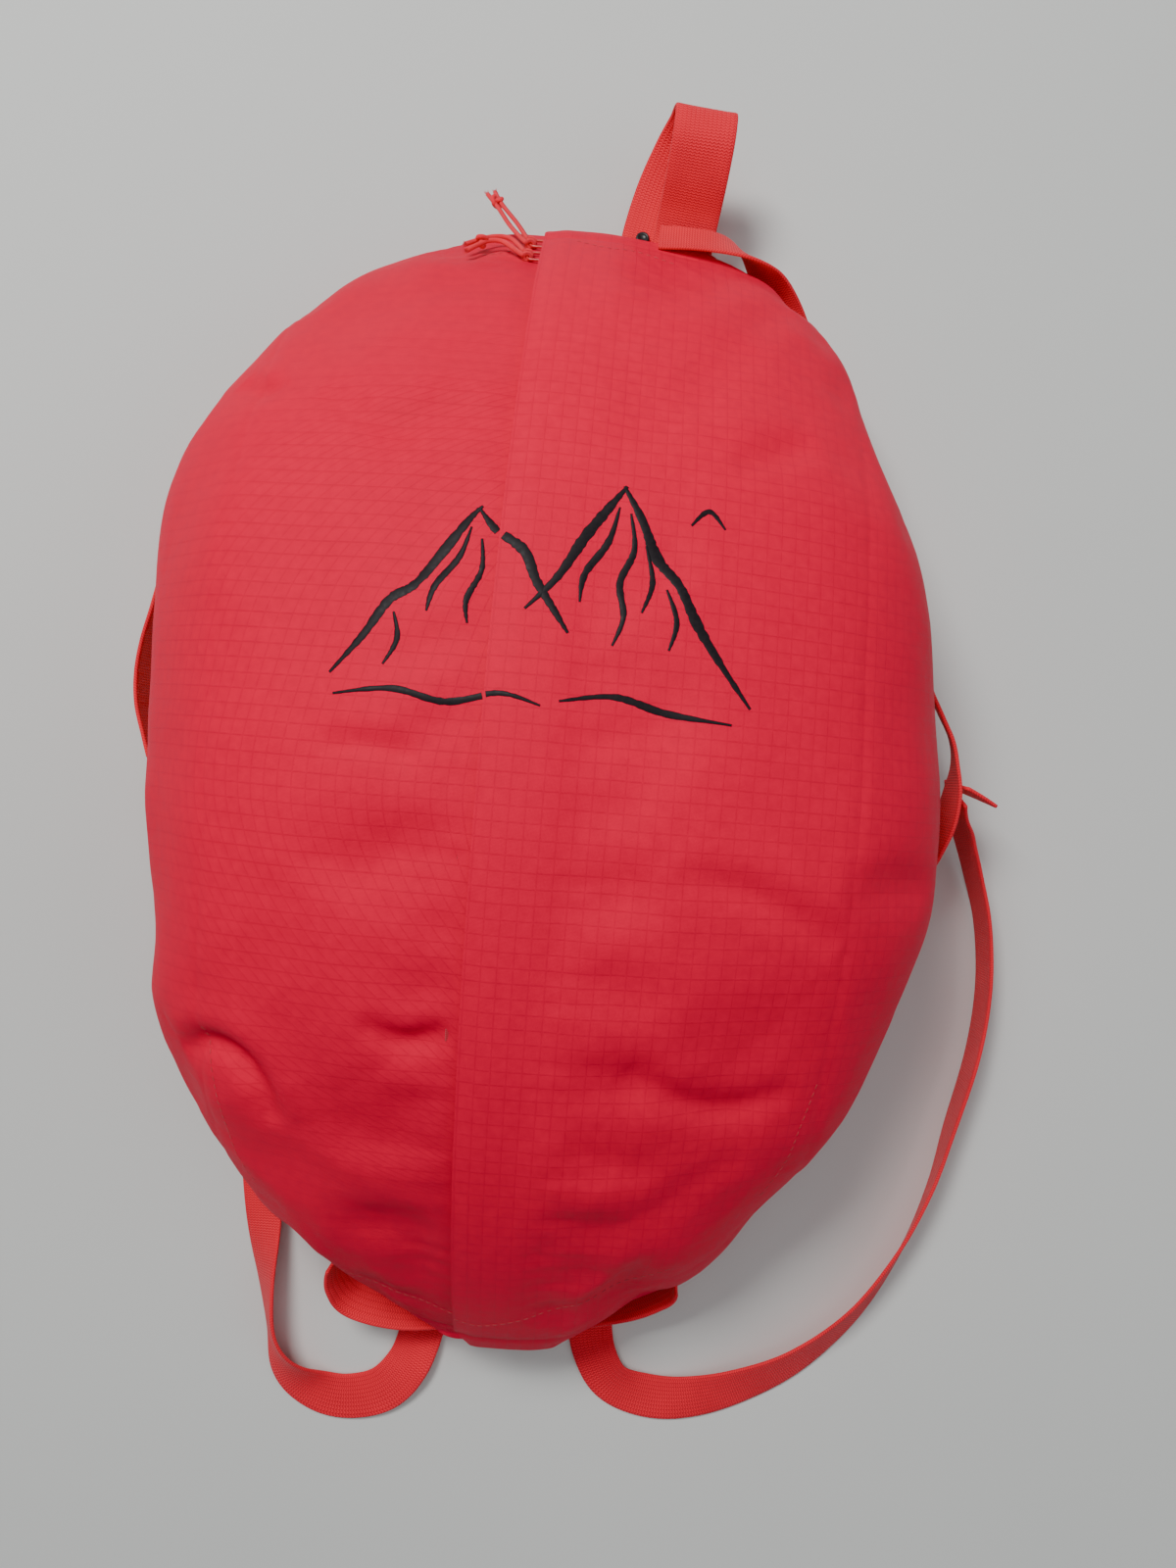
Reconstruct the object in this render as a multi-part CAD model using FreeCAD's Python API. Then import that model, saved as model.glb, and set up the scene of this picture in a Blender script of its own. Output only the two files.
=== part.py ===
"""Zip-fronted travel sack of ripstop cloth, packed full and lying on its back.

Millimetres. X runs across the sack, Y towards its top end, Z out of its front.
The origin is on the surface that the back panel rests on, under the sack's middle.

The front's centre line is one circular arc about an axis parallel to X, so the
zip, its two sliders and the storm flap are all turned about that axis.
"""
import FreeCAD
import Part
import math
import os

from FreeCAD import Vector

# --- the sack's overall shape ---
FRONT_HEIGHT = 145.0
ARC_HALF_LENGTH = 225.0
ARC_END_HEIGHT = 45.0
ARC_SAG = FRONT_HEIGHT - ARC_END_HEIGHT
ARC_RADIUS = (ARC_HALF_LENGTH ** 2 + ARC_SAG ** 2) / (2.0 * ARC_SAG)
ARC_CENTRE_Z = FRONT_HEIGHT - ARC_RADIUS
CLOTH = 2.0
WIDEST_LEVEL = 0.42
FRONT_FULLNESS = 2.4
BACK_FULLNESS = 2.7
SECTION_POINTS = 36

# (distance along Y, left half-width, right half-width, height of the underside)
STATIONS = [
    (-233, 26, 27, 28.0), (-224, 43, 43, 16.0), (-210, 62, 62, 8.0),
    (-190, 85, 84, 2.0), (-165, 112, 103, -1.0), (-135, 131, 124, -1.0),
    (-100, 143, 138, -1.0), (-60, 150, 151, -1.0), (-15, 155, 157, -1.0),
    (30, 158, 153, -1.0), (80, 160, 148, -1.0), (110, 159, 140, -1.0),
    (137, 153, 127, -1.0), (165, 138, 116, -1.0), (190, 118, 106, 1.0),
    (210, 92, 91, 7.0), (224, 66, 74, 16.0), (231, 42, 56, 27.0),
]

# --- seams that part the shell into its panels ---
SIDE_SEAM_X = 116.0
BACK_SEAM_Z = 24.0
END_SEAM_Y = 206.5
END_SEAM_LEAN = 0.5

# --- zip, counted across from its own centre line and out from the arc ---
ZIP_X = -6.0
ZIP_HALF_ANGLE = 48.6
TAPE_WIDTH = 16.0
COIL_HALF_WIDTH = 2.9
COIL_GAP = 0.6
PANEL_GAP = 5.3
STOP_ANGLE = 0.4

# --- sliders ---
SLIDER_LENGTH = 12.0
SLIDER_HALF_WIDTH = 4.6
LOWER_SLIDER_ANGLE = 44.25
UPPER_SLIDER_ANGLE = 46.9
CROWN_LEG = 1.0
CROWN_REACH = 3.6
RING_WIRE = 1.1
RING_LEFT = -16.5
RING_RIGHT = 4.0
RING_LOW = -1.0
RING_HIGH = 7.0

# --- cords and webbing ---
CORD_DIAMETER = 1.9
CORD_ARC_SHARE = 0.45
KNOT_RADIUS = 2.9
WEBBING_WIDTH = 20.0
WEBBING_THICKNESS = 1.6
HAUL_WIDTH = 26.0
HAUL_THICKNESS = 1.8
SNAP_RADIUS = 3.0
SNAP_HEIGHT = 2.4


def save(name, shape):
    """Write one sub-part."""
    shape.exportStep("parts/" + name + ".step")
    print(name, "valid", shape.isValid(), "solids", len(shape.Solids), "mm3", round(shape.Volume, 1))


def arc_height(y):
    """Height of the front's centre line at a place along Y."""
    return ARC_CENTRE_Z + math.sqrt(ARC_RADIUS ** 2 - y ** 2)


# ---------- the shell and its panels ----------

def section_wire(station, inset):
    """Closed outline across the sack, flattened below and domed above."""
    y, left, right, low = station
    y = y * (1.0 - inset / STATIONS[-1][0])
    high = arc_height(y) - inset
    low = low + inset
    widest = low + WIDEST_LEVEL * (high - low)
    points = []
    for i in range(SECTION_POINTS):
        turn = 2.0 * math.pi * i / SECTION_POINTS
        across = math.cos(turn)
        up = math.sin(turn)
        fullness = FRONT_FULLNESS if up >= 0 else BACK_FULLNESS
        half_width = (right if across >= 0 else left) - inset
        half_height = (high - widest) if up >= 0 else (widest - low)
        x = math.copysign(half_width * abs(across) ** (2.0 / fullness), across)
        z = widest + math.copysign(half_height * abs(up) ** (2.0 / fullness), up)
        points.append(Vector(x, y, z))
    curve = Part.BSplineCurve()
    curve.interpolate(Points=points, PeriodicFlag=True)
    return Part.Wire([curve.toShape()])


def body_solid(inset, floor):
    """The stuffed sack as one solid, cut flat where it rests."""
    wires = [section_wire(station, inset) for station in STATIONS]
    solid = Part.makeLoft(wires, True, False, False, 3)
    above = Part.makeBox(500, 600, 300, Vector(-250, -300, floor))
    return solid.common(above)


def end_wedge(side):
    """Everything beyond the leaning seam of one end panel."""
    near = END_SEAM_Y
    far = END_SEAM_Y + END_SEAM_LEAN * 300.0
    corners = [Vector(-250, side * near, 0), Vector(-250, side * far, 300),
               Vector(-250, side * 400, 300), Vector(-250, side * 400, 0)]
    face = Part.Face(Part.makePolygon(corners + corners[:1]))
    return face.extrude(Vector(500, 0, 0))


def block(x0, x1, z0, z1):
    """A box along the whole sack, between two places across and two heights."""
    return Part.makeBox(x1 - x0, 600, z1 - z0, Vector(x0, -300, z0))


def make_panels():
    """Cut the shell along its seams."""
    shell = body_solid(0.0, 0.0).cut(body_solid(CLOTH, CLOTH))
    top_wedge = end_wedge(1)
    bottom_wedge = end_wedge(-1)
    save("top_panel", shell.common(top_wedge))
    save("bottom_panel", shell.common(bottom_wedge))
    tube = shell.cut(top_wedge).cut(bottom_wedge)
    save("back_panel", tube.common(block(-250, 250, -10, BACK_SEAM_Z)))
    upper = tube.common(block(-250, 250, BACK_SEAM_Z, 300))
    save("left_side_panel", upper.common(block(-250, -SIDE_SEAM_X, 0, 300)))
    save("right_side_panel", upper.common(block(SIDE_SEAM_X, 250, 0, 300)))
    save("left_front_panel", upper.common(block(-SIDE_SEAM_X, ZIP_X - PANEL_GAP, 0, 300)))
    save("right_front_panel", upper.common(block(ZIP_X + PANEL_GAP, SIDE_SEAM_X, 0, 300)))


# ---------- everything turned about the arc's axis ----------

def turned(outline, angle_from, angle_to):
    """Turn an outline of (x, height out from the arc) points along part of the arc."""
    points = [Vector(x, 0, ARC_CENTRE_Z + ARC_RADIUS + out) for x, out in outline]
    face = Part.Face(Part.makePolygon(points + points[:1]))
    centre = Vector(0, 0, ARC_CENTRE_Z)
    face.rotate(centre, Vector(1, 0, 0), -angle_from)
    return face.revolve(centre, Vector(1, 0, 0), -(angle_to - angle_from))


def bar(x0, x1, out0, out1):
    """Outline of a rectangle."""
    return [(x0, out0), (x1, out0), (x1, out1), (x0, out1)]


def make_zip():
    """Tapes, coils and stops, sunk just under the cloth."""
    ends = (-ZIP_HALF_ANGLE, ZIP_HALF_ANGLE)
    coil_ends = (-ZIP_HALF_ANGLE + STOP_ANGLE, ZIP_HALF_ANGLE - STOP_ANGLE)
    for name, side in (("left", -1), ("right", 1)):
        inner = ZIP_X + side * COIL_HALF_WIDTH
        outer = ZIP_X + side * TAPE_WIDTH
        tape = turned(bar(min(inner, outer), max(inner, outer), -3.2, -2.6), *ends)
        save("zip_tape_" + name, tape)
        gap = ZIP_X + side * COIL_GAP
        coil = turned(bar(min(inner, gap), max(inner, gap), -3.9, -1.9), *coil_ends)
        save("zip_coil_" + name, coil)
    stop = bar(ZIP_X - COIL_HALF_WIDTH, ZIP_X + COIL_HALF_WIDTH, -3.9, -1.7)
    save("zip_top_stop", turned(stop, ZIP_HALF_ANGLE - STOP_ANGLE, ZIP_HALF_ANGLE))
    save("zip_bottom_stop", turned(stop, -ZIP_HALF_ANGLE, STOP_ANGLE - ZIP_HALF_ANGLE))


def make_storm_flap():
    """The right panel's flap, sewn beside the zip and arched over the sliders."""
    outline = [(20, 0.15), (13, 0.15), (4, 3.0), (-13, 3.0), (-17, 2.2),
               (-17, 3.2), (-13, 4.2), (4, 4.2), (13.5, 1.35), (20, 1.35)]
    save("storm_flap", turned(outline, -ZIP_HALF_ANGLE, ZIP_HALF_ANGLE))


def placed(shape, angle):
    """Carry a shape built at the top of the arc along it, towards the top end."""
    shape.translate(Vector(ZIP_X, 0, ARC_CENTRE_Z + ARC_RADIUS))
    shape.rotate(Vector(0, 0, ARC_CENTRE_Z), Vector(1, 0, 0), -angle)
    return shape


def box_between(low, high):
    """A box between two corners."""
    size = [b - a for a, b in zip(low, high)]
    return Part.makeBox(size[0], size[1], size[2], Vector(*low))


def slider_body():
    """Two wings joined by a wedge, with a crown that holds the pull ring."""
    half = SLIDER_LENGTH / 2.0
    wide = SLIDER_HALF_WIDTH
    pieces = [box_between((-wide, -half, -1.5), (wide, half, -0.4)),
              box_between((-wide, -half, -5.4), (wide, half, -4.3)),
              box_between((-COIL_GAP / 2, -half, -4.6), (COIL_GAP / 2, half, -1.2)),
              box_between((-1.0, -CROWN_REACH, 1.7), (1.0, CROWN_REACH, 2.6))]
    for side in (-1, 1):
        rail = sorted((side * wide, side * (wide - 1.1)))
        pieces.append(box_between((rail[0], -half, -2.1), (rail[1], half, -0.4)))
        leg = sorted((side * CROWN_REACH, side * (CROWN_REACH - CROWN_LEG)))
        pieces.append(box_between((-1.0, leg[0], -0.6), (1.0, leg[1], 2.6)))
    return pieces[0].multiFuse(pieces[1:]).removeSplitter()


def pull_ring():
    """Flat wire ring, through the crown and out to the left."""
    outer = box_between((RING_LEFT, RING_LOW, 0.5), (RING_RIGHT, RING_HIGH, 0.5 + RING_WIRE))
    hole = box_between((RING_LEFT + RING_WIRE, RING_LOW + RING_WIRE, 0.0),
                       (RING_RIGHT - RING_WIRE, RING_HIGH - RING_WIRE, 3.0))
    ring = outer.cut(hole)
    corners = [edge for edge in ring.Edges
               if abs(edge.Vertexes[0].X - edge.Vertexes[-1].X) < 1e-6
               and abs(edge.Vertexes[0].Y - edge.Vertexes[-1].Y) < 1e-6]
    return ring.makeFillet(0.9, corners)


def make_sliders():
    """Two sliders head to head at the zip's top end, each with its ring."""
    for name, angle in (("lower", LOWER_SLIDER_ANGLE), ("upper", UPPER_SLIDER_ANGLE)):
        save(name + "_slider", placed(slider_body(), angle))
        save(name + "_pull_ring", placed(pull_ring(), angle))


# ---------- cords ----------

UPPER_STRAND_A = [(-23.4, 225.6, 47.4), (-26.6, 231.6, 42.9), (-30.8, 238.4, 37.2),
                  (-35.1, 244.3, 33.0), (-38.5, 249.4, 29.6), (-41.0, 254.6, 26.0)]
UPPER_STRAND_B = [(-23.4, 223.0, 49.8), (-28.0, 228.4, 44.9), (-33.0, 235.8, 38.6),
                  (-36.8, 242.6, 33.6), (-40.2, 248.0, 29.8), (-43.8, 252.6, 27.4)]
LOWER_STRAND_A = [(-23.4, 216.0, 57.6), (-27.0, 221.6, 52.6), (-31.6, 225.6, 48.6),
                  (-37.2, 225.2, 48.9), (-42.2, 222.0, 52.4), (-47.6, 217.6, 56.6)]
LOWER_STRAND_B = [(-23.4, 213.4, 59.9), (-28.6, 217.8, 56.2), (-33.2, 221.9, 52.6),
                  (-37.6, 221.9, 52.6), (-41.4, 219.4, 55.0), (-46.4, 213.6, 59.8)]
UPPER_KNOT = Vector(-39.4, 248.8, 29.7)
LOWER_KNOT = Vector(-41.8, 220.7, 53.7)


def cord_path(name, corners):
    """Straight runs joined by the largest tangent arcs that they leave room for."""
    points = [Vector(*corner) for corner in corners]
    edges = []
    start = points[0]
    length = 0.0
    radii = []
    for before, corner, after in zip(points, points[1:], points[2:]):
        into = corner - before
        away = after - corner
        reach = CORD_ARC_SHARE * min(into.Length, away.Length)
        half_turn = into.getAngle(away) / 2.0
        radius = reach / math.tan(half_turn)
        radii.append(radius)
        into.normalize()
        away.normalize()
        enter = corner - into * reach
        leave = corner + away * reach
        inward = away - into
        inward.normalize()
        middle = corner + inward * (radius / math.cos(half_turn) - radius)
        edges.append(Part.LineSegment(start, enter).toShape())
        edges.append(Part.Arc(enter, middle, leave).toShape())
        length += (enter - start).Length + 2.0 * half_turn * radius
        start = leave
    edges.append(Part.LineSegment(start, points[-1]).toShape())
    length += (points[-1] - start).Length
    print(name, "radii mm", [round(radius, 1) for radius in radii], "length mm", round(length, 1))
    return Part.Wire(edges), length


def cord_solid(name, corners):
    """A round tube along one strand's path."""
    path, length = cord_path(name, corners)
    direction = Vector(*corners[1]) - Vector(*corners[0])
    circle = Part.Wire([Part.makeCircle(CORD_DIAMETER / 2.0, Vector(*corners[0]), direction)])
    tube = path.makePipeShell([circle], True, False)
    print(name, "tube over section times length",
          round(tube.Volume / (math.pi * CORD_DIAMETER ** 2 / 4.0 * length), 3))
    return tube


def make_pull_cords():
    """Each pull is a doubled cord: two strands from the ring through one knot."""
    pulls = (("upper", UPPER_STRAND_A, UPPER_STRAND_B, UPPER_KNOT),
             ("lower", LOWER_STRAND_A, LOWER_STRAND_B, LOWER_KNOT))
    for name, route_a, route_b, centre in pulls:
        strand_a = cord_solid(name + "_cord_a", route_a)
        strand_b = cord_solid(name + "_cord_b", route_b)
        save(name + "_cord_a", strand_a)
        save(name + "_cord_b", strand_b)
        knot = Part.makeSphere(KNOT_RADIUS, centre)
        save(name + "_cord_knot", knot.cut(strand_a).cut(strand_b))


# ---------- webbing ----------

def smooth(rows, steps):
    """Rows of numbers joined by a Catmull-Rom curve, a few steps to each span."""
    result = []
    for i in range(len(rows) - 1):
        before = rows[max(i - 1, 0)]
        start = rows[i]
        end = rows[i + 1]
        after = rows[min(i + 2, len(rows) - 1)]
        for k in range(steps):
            t = k / steps
            result.append([0.5 * (2 * b + (c - a) * t + (2 * a - 5 * b + 4 * c - d) * t ** 2
                                  + (3 * b - a - 3 * c + d) * t ** 3)
                           for a, b, c, d in zip(before, start, end, after)])
    result.append(list(rows[-1]))
    return result


def ribbon(stations, width, thickness, steps=3, across=None):
    """Webbing along (x, y, z, tilt) stations: tilt 0 lies flat, 90 stands on edge.

    With across given, the webbing's width keeps that direction and tilt isn't used.
    """
    rows = smooth(stations, steps)
    places = [Vector(row[0], row[1], row[2]) for row in rows]
    wires = []
    for i, place in enumerate(places):
        along = places[min(i + 1, len(places) - 1)] - places[max(i - 1, 0)]
        along.normalize()
        if across is None:
            flat = along.cross(Vector(0, 0, 1))
            flat.normalize()
            upright = flat.cross(along)
            tilt = math.radians(rows[i][3])
            wide = flat * math.cos(tilt) + upright * math.sin(tilt)
        else:
            wide = across - along * across.dot(along)
        wide.normalize()
        thick = wide.cross(along)
        w = wide * (width / 2.0)
        t = thick * (thickness / 2.0)
        corners = [place - w - t, place + w - t, place + w + t, place - w + t]
        wires.append(Part.makePolygon(corners + corners[:1]))
    return Part.makeLoft(wires, True, True)


RIGHT_UPPER_STRAP = [(31, 236.4, 36.0, 40), (45, 236.5, 36.6, 42), (59, 235.4, 36.0, 48),
                     (70, 232.2, 32.5, 72), (79, 226.8, 26.0, 106), (87, 218.0, 17.5, 130),
                     (94, 205.5, 9.6, 156), (102, 188.0, 4.4, 175), (110, 167.0, 1.4, 180),
                     (116, 143.0, 0.9, 180), (124, 120.0, 0.9, 180), (131, 99.0, 0.9, 180),
                     (135, 84.0, 0.9, 180)]
LEFT_UPPER_STRAP = [(-16, 232.0, 14, 4), (-34, 228.0, 7, 2), (-58, 218.0, 2.4, 0),
                    (-84, 203.0, 0.9, 0), (-106, 184.0, 0.9, 0), (-125, 158.0, 0.9, 0),
                    (-137, 128.0, 0.9, 0), (-142, 98.0, 0.9, 0)]
RIGHT_SIDE_LOOP = [(150.8, 77, 44, 86), (153.2, 67, 44, 84), (157.6, 56, 43, 78),
                   (164.6, 44, 42, 76), (169.8, 34, 42, 76), (171.8, 24, 42, 80),
                   (171.6, 12, 42, 94), (169.4, -1, 42, 100), (164.8, -13, 42, 100),
                   (161.6, -20, 42, 98)]
LEFT_SIDE_LOOP = [(-161.8, 70, 44, 90), (-163.8, 60, 44, 90), (-167.0, 47, 43, 90),
                  (-168.2, 34, 43, 90), (-167.0, 21, 43, 90), (-163.0, 8, 43, 90),
                  (-160.4, 0, 43, 90)]
RIGHT_LOWER_STRAP = [(175.0, 12.4, 36, 92), (178.4, 4, 29, 94), (184.6, -6, 21, 94),
                     (192.2, -22, 14, 94), (199.4, -44, 11, 92), (202.4, -72, 10.4, 90),
                     (200.0, -102, 10.4, 88), (192.4, -136, 10.3, 84),
                     (185.8, -164, 10.1, 76), (174.6, -193, 9.6, 66),
                     (157.0, -222.6, 8.4, 54), (133.0, -246.4, 6.6, 38),
                     (108.0, -261.0, 4.2, 22), (86.0, -268.6, 2.2, 8),
                     (68.0, -269.5, 1.4, 3), (52.0, -264.0, 2.6, 12),
                     (43.4, -251.0, 2.6, 10), (40.0, -236.0, 0.9, 0),
                     (38.6, -222.0, 0.9, 0)]
RIGHT_STRAP_TAIL = [(175.6, 15.4, 38, 88), (181.0, 12.9, 37, 88), (188.0, 10.0, 35, 84)]
LEFT_LOWER_STRAP = [(-148, 22, 3.0, 10), (-144, -10, 0.9, 0), (-138, -52, 0.9, 0),
                    (-130, -96, 0.9, 0), (-121, -138, 0.9, 0), (-113, -176, 1.6, -4),
                    (-109, -204, 5.0, -28), (-105, -230, 8.4, -58), (-100.4, -252, 9.4, -66),
                    (-92.6, -269, 6.4, -32), (-80.0, -278.6, 2.2, -8), (-65.6, -281, 1.2, 0),
                    (-50.0, -276, 1.8, 6), (-39.6, -263, 3.2, 16), (-34.6, -247, 2.2, 8),
                    (-32.6, -232, 0.9, 0), (-31.6, -219, 0.9, 0)]
HAUL_LOOP = [(27.0, 233.8, 23.0), (28.6, 246, 20.6), (32.6, 262, 21.6), (38.6, 276, 27),
             (43.4, 283.6, 34), (45.4, 286.6, 42), (46.0, 283.0, 49.0), (45.6, 272, 49.0),
             (44.4, 260, 40.6), (43.0, 250, 30.6), (42.0, 242.4, 25.6), (41.0, 234, 24.8)]
BOTTOM_HANDLE = [(-71.5, -208.5, 25, 74), (-70, -220, 20, 58), (-63, -229.5, 14.5, 44),
                 (-44, -234.0, 12.4, 48), (-22, -233.4, 12.2, 66), (0, -232.6, 11.8, 76),
                 (30, -230.6, 12.2, 76), (56, -223, 15, 70), (70.5, -214.0, 20, 74),
                 (75, -205.5, 25, 78)]


def make_webbing():
    """Carry straps, side loops and the bottom handle."""
    straps = {"right_upper_strap": RIGHT_UPPER_STRAP, "left_upper_strap": LEFT_UPPER_STRAP,
              "right_side_loop": RIGHT_SIDE_LOOP, "left_side_loop": LEFT_SIDE_LOOP,
              "left_lower_strap": LEFT_LOWER_STRAP, "bottom_handle": BOTTOM_HANDLE,
              "right_lower_strap": RIGHT_LOWER_STRAP, "right_strap_tail": RIGHT_STRAP_TAIL}
    for name, stations in straps.items():
        save(name, ribbon(stations, WEBBING_WIDTH, WEBBING_THICKNESS))


def make_haul_loop():
    """The top loop, its two legs splayed, and the snap on the lower leg."""
    save("haul_loop", ribbon(HAUL_LOOP, HAUL_WIDTH, HAUL_THICKNESS, across=Vector(1, -0.1, 0)))
    snap = Part.makeCylinder(SNAP_RADIUS, SNAP_HEIGHT, Vector(24.0, 240.4, 22.9), Vector(0, 0.2, 1))
    save("haul_snap", snap)


def main():
    """Build every sub-part."""
    os.makedirs("parts", exist_ok=True)
    make_panels()
    make_zip()
    make_storm_flap()
    make_sliders()
    make_pull_cords()
    make_webbing()
    make_haul_loop()


main()
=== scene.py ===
import math
import random

import bmesh
import bpy
import numpy as np
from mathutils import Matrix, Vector
from mathutils.bvhtree import BVHTree


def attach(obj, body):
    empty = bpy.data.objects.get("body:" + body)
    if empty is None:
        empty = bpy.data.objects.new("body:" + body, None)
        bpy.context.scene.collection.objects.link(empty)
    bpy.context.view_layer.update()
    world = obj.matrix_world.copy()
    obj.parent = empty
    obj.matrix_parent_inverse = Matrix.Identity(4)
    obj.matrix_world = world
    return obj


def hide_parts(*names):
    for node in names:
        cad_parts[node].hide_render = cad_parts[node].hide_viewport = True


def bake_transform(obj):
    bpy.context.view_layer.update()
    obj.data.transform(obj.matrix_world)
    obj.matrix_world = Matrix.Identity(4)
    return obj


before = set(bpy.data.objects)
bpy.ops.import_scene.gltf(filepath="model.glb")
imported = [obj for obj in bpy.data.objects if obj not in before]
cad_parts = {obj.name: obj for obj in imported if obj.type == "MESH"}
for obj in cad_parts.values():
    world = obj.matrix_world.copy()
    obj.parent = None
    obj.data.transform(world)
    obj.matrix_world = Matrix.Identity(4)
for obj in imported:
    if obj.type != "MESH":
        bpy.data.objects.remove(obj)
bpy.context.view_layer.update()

MM = 0.001
SCENE = bpy.context.scene

# ---------------------------------------------------------------------------
# The sack's driving sizes, in millimetres, as the CAD model has them
# ---------------------------------------------------------------------------
FRONT_HEIGHT = 145.0
ARC_SAG = 100.0
ARC_HALF_LENGTH = 225.0
ARC_RADIUS = (ARC_HALF_LENGTH ** 2 + ARC_SAG ** 2) / (2.0 * ARC_SAG)
ARC_CENTRE_Z = FRONT_HEIGHT - ARC_RADIUS
WIDEST_LEVEL = 0.42
FRONT_FULLNESS = 2.4
BACK_FULLNESS = 2.7
STATIONS = [
    (-233, 26, 27, 28.0), (-224, 43, 43, 16.0), (-210, 62, 62, 8.0),
    (-190, 85, 84, 2.0), (-165, 112, 103, -1.0), (-135, 131, 124, -1.0),
    (-100, 143, 138, -1.0), (-60, 150, 151, -1.0), (-15, 155, 157, -1.0),
    (30, 158, 153, -1.0), (80, 160, 148, -1.0), (110, 159, 140, -1.0),
    (137, 153, 127, -1.0), (165, 138, 116, -1.0), (190, 118, 106, 1.0),
    (210, 92, 91, 7.0), (224, 66, 74, 16.0), (231, 42, 56, 27.0),
]
SIDE_SEAM_X = 116.0
BACK_SEAM_Z = 24.0
END_SEAM_Y = 206.5
END_SEAM_LEAN = 0.5

ZIP_X = -6.0
ZIP_HALF_ANGLE = 48.6
PANEL_GAP = 5.3
FLAP_EDGE_X = -17.0
FLAP_FLAT_X = 56.0
FLAP_LIFT = 3.5
CLOTH_STEP = 4.6
CLOTH_THICKNESS = 0.5
SHEET_GIRTH = 820.0
SHEET_TOP_Y = 231.0
SHEET_BOTTOM_Y = -233.0
FLOOR_CLEARANCE = 0.3
SWELL_FRAMES = 24
WRINKLE_REACH = 9.0
BILLOWS = 70
BILLOW_SEED = 7
LEFT_SLACK = 5.2
FRAY_SEED = 11
PRINT_SEED = 3
STITCH_SPACING = 3.1


# ---------------------------------------------------------------------------
# Small helpers
# ---------------------------------------------------------------------------
def smoothstep(low, high, value):
    """0 below low, 1 above high, smooth between; high may be less than low."""
    t = np.clip((value - low) / (high - low), 0.0, 1.0)
    return t * t * (3.0 - 2.0 * t)


def link(name, mesh, material=None):
    """Puts a mesh in the scene as a new object."""
    piece = bpy.data.objects.new(name, mesh)
    SCENE.collection.objects.link(piece)
    if material is not None:
        mesh.materials.append(material)
    return piece


def fit(piece, body, slot, *nodes):
    """Rides a piece on its body and hides the CAD nodes that it stands for; slot is not used."""
    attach(piece, body)
    if nodes:
        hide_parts(*nodes)


def mesh_from(name, points, faces, uvs=None):
    """A smooth mesh from points in millimetres, with a UV for each point."""
    mesh = bpy.data.meshes.new(name)
    mesh.from_pydata([tuple(c * MM for c in p) for p in points], [], faces)
    mesh.validate()
    mesh.shade_smooth()
    if uvs is not None:
        layer = mesh.uv_layers.new(name="cloth")
        corners = np.empty(len(mesh.loops), dtype=np.int32)
        mesh.loops.foreach_get("vertex_index", corners)
        layer.data.foreach_set("uv", np.asarray(uvs, dtype=np.float32)[corners].ravel())
    return mesh


def ring_faces(rings, count):
    """Quads that join rows of count points, each row closed on itself."""
    faces = []
    for i in range(rings - 1):
        for k in range(count):
            a = i * count + k
            b = i * count + (k + 1) % count
            faces.append((a, b, b + count, a + count))
    return faces


def made(name, shape, material):
    """A new object from a shape's points, faces and UVs."""
    return link(name, mesh_from(name, *shape), material)


def apply_modifiers(piece):
    """Swaps the piece's mesh for what its modifiers make of it."""
    graph = bpy.context.evaluated_depsgraph_get()
    graph.update()
    mesh = bpy.data.meshes.new_from_object(piece.evaluated_get(graph), depsgraph=graph)
    piece.modifiers.clear()
    piece.data = mesh


def hermite(places, values, at):
    """Smooth interpolation of given values at sorted places."""
    places = np.asarray(places, dtype=float)
    values = np.asarray(values, dtype=float)
    slopes = np.gradient(values, places)
    i = np.clip(np.searchsorted(places, at) - 1, 0, len(places) - 2)
    span = places[i + 1] - places[i]
    t = (at - places[i]) / span
    return ((2 * t ** 3 - 3 * t ** 2 + 1) * values[i] + (t ** 3 - 2 * t ** 2 + t) * span * slopes[i]
            + (3 * t ** 2 - 2 * t ** 3) * values[i + 1] + (t ** 3 - t ** 2) * span * slopes[i + 1])


def catmull(rows, steps):
    """Rows of numbers joined by a Catmull-Rom curve, a few steps to each span."""
    rows = [np.asarray(row, dtype=float) for row in rows]
    result = []
    for i in range(len(rows) - 1):
        a = rows[max(i - 1, 0)]
        b = rows[i]
        c = rows[i + 1]
        d = rows[min(i + 2, len(rows) - 1)]
        for k in range(steps):
            t = k / steps
            result.append(0.5 * (2 * b + (c - a) * t + (2 * a - 5 * b + 4 * c - d) * t ** 2
                                 + (3 * b - a - 3 * c + d) * t ** 3))
    result.append(rows[-1])
    return result


def arc_height(y):
    """Height of the front's centre line."""
    return ARC_CENTRE_Z + np.sqrt(ARC_RADIUS ** 2 - np.asarray(y, dtype=float) ** 2)


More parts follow.
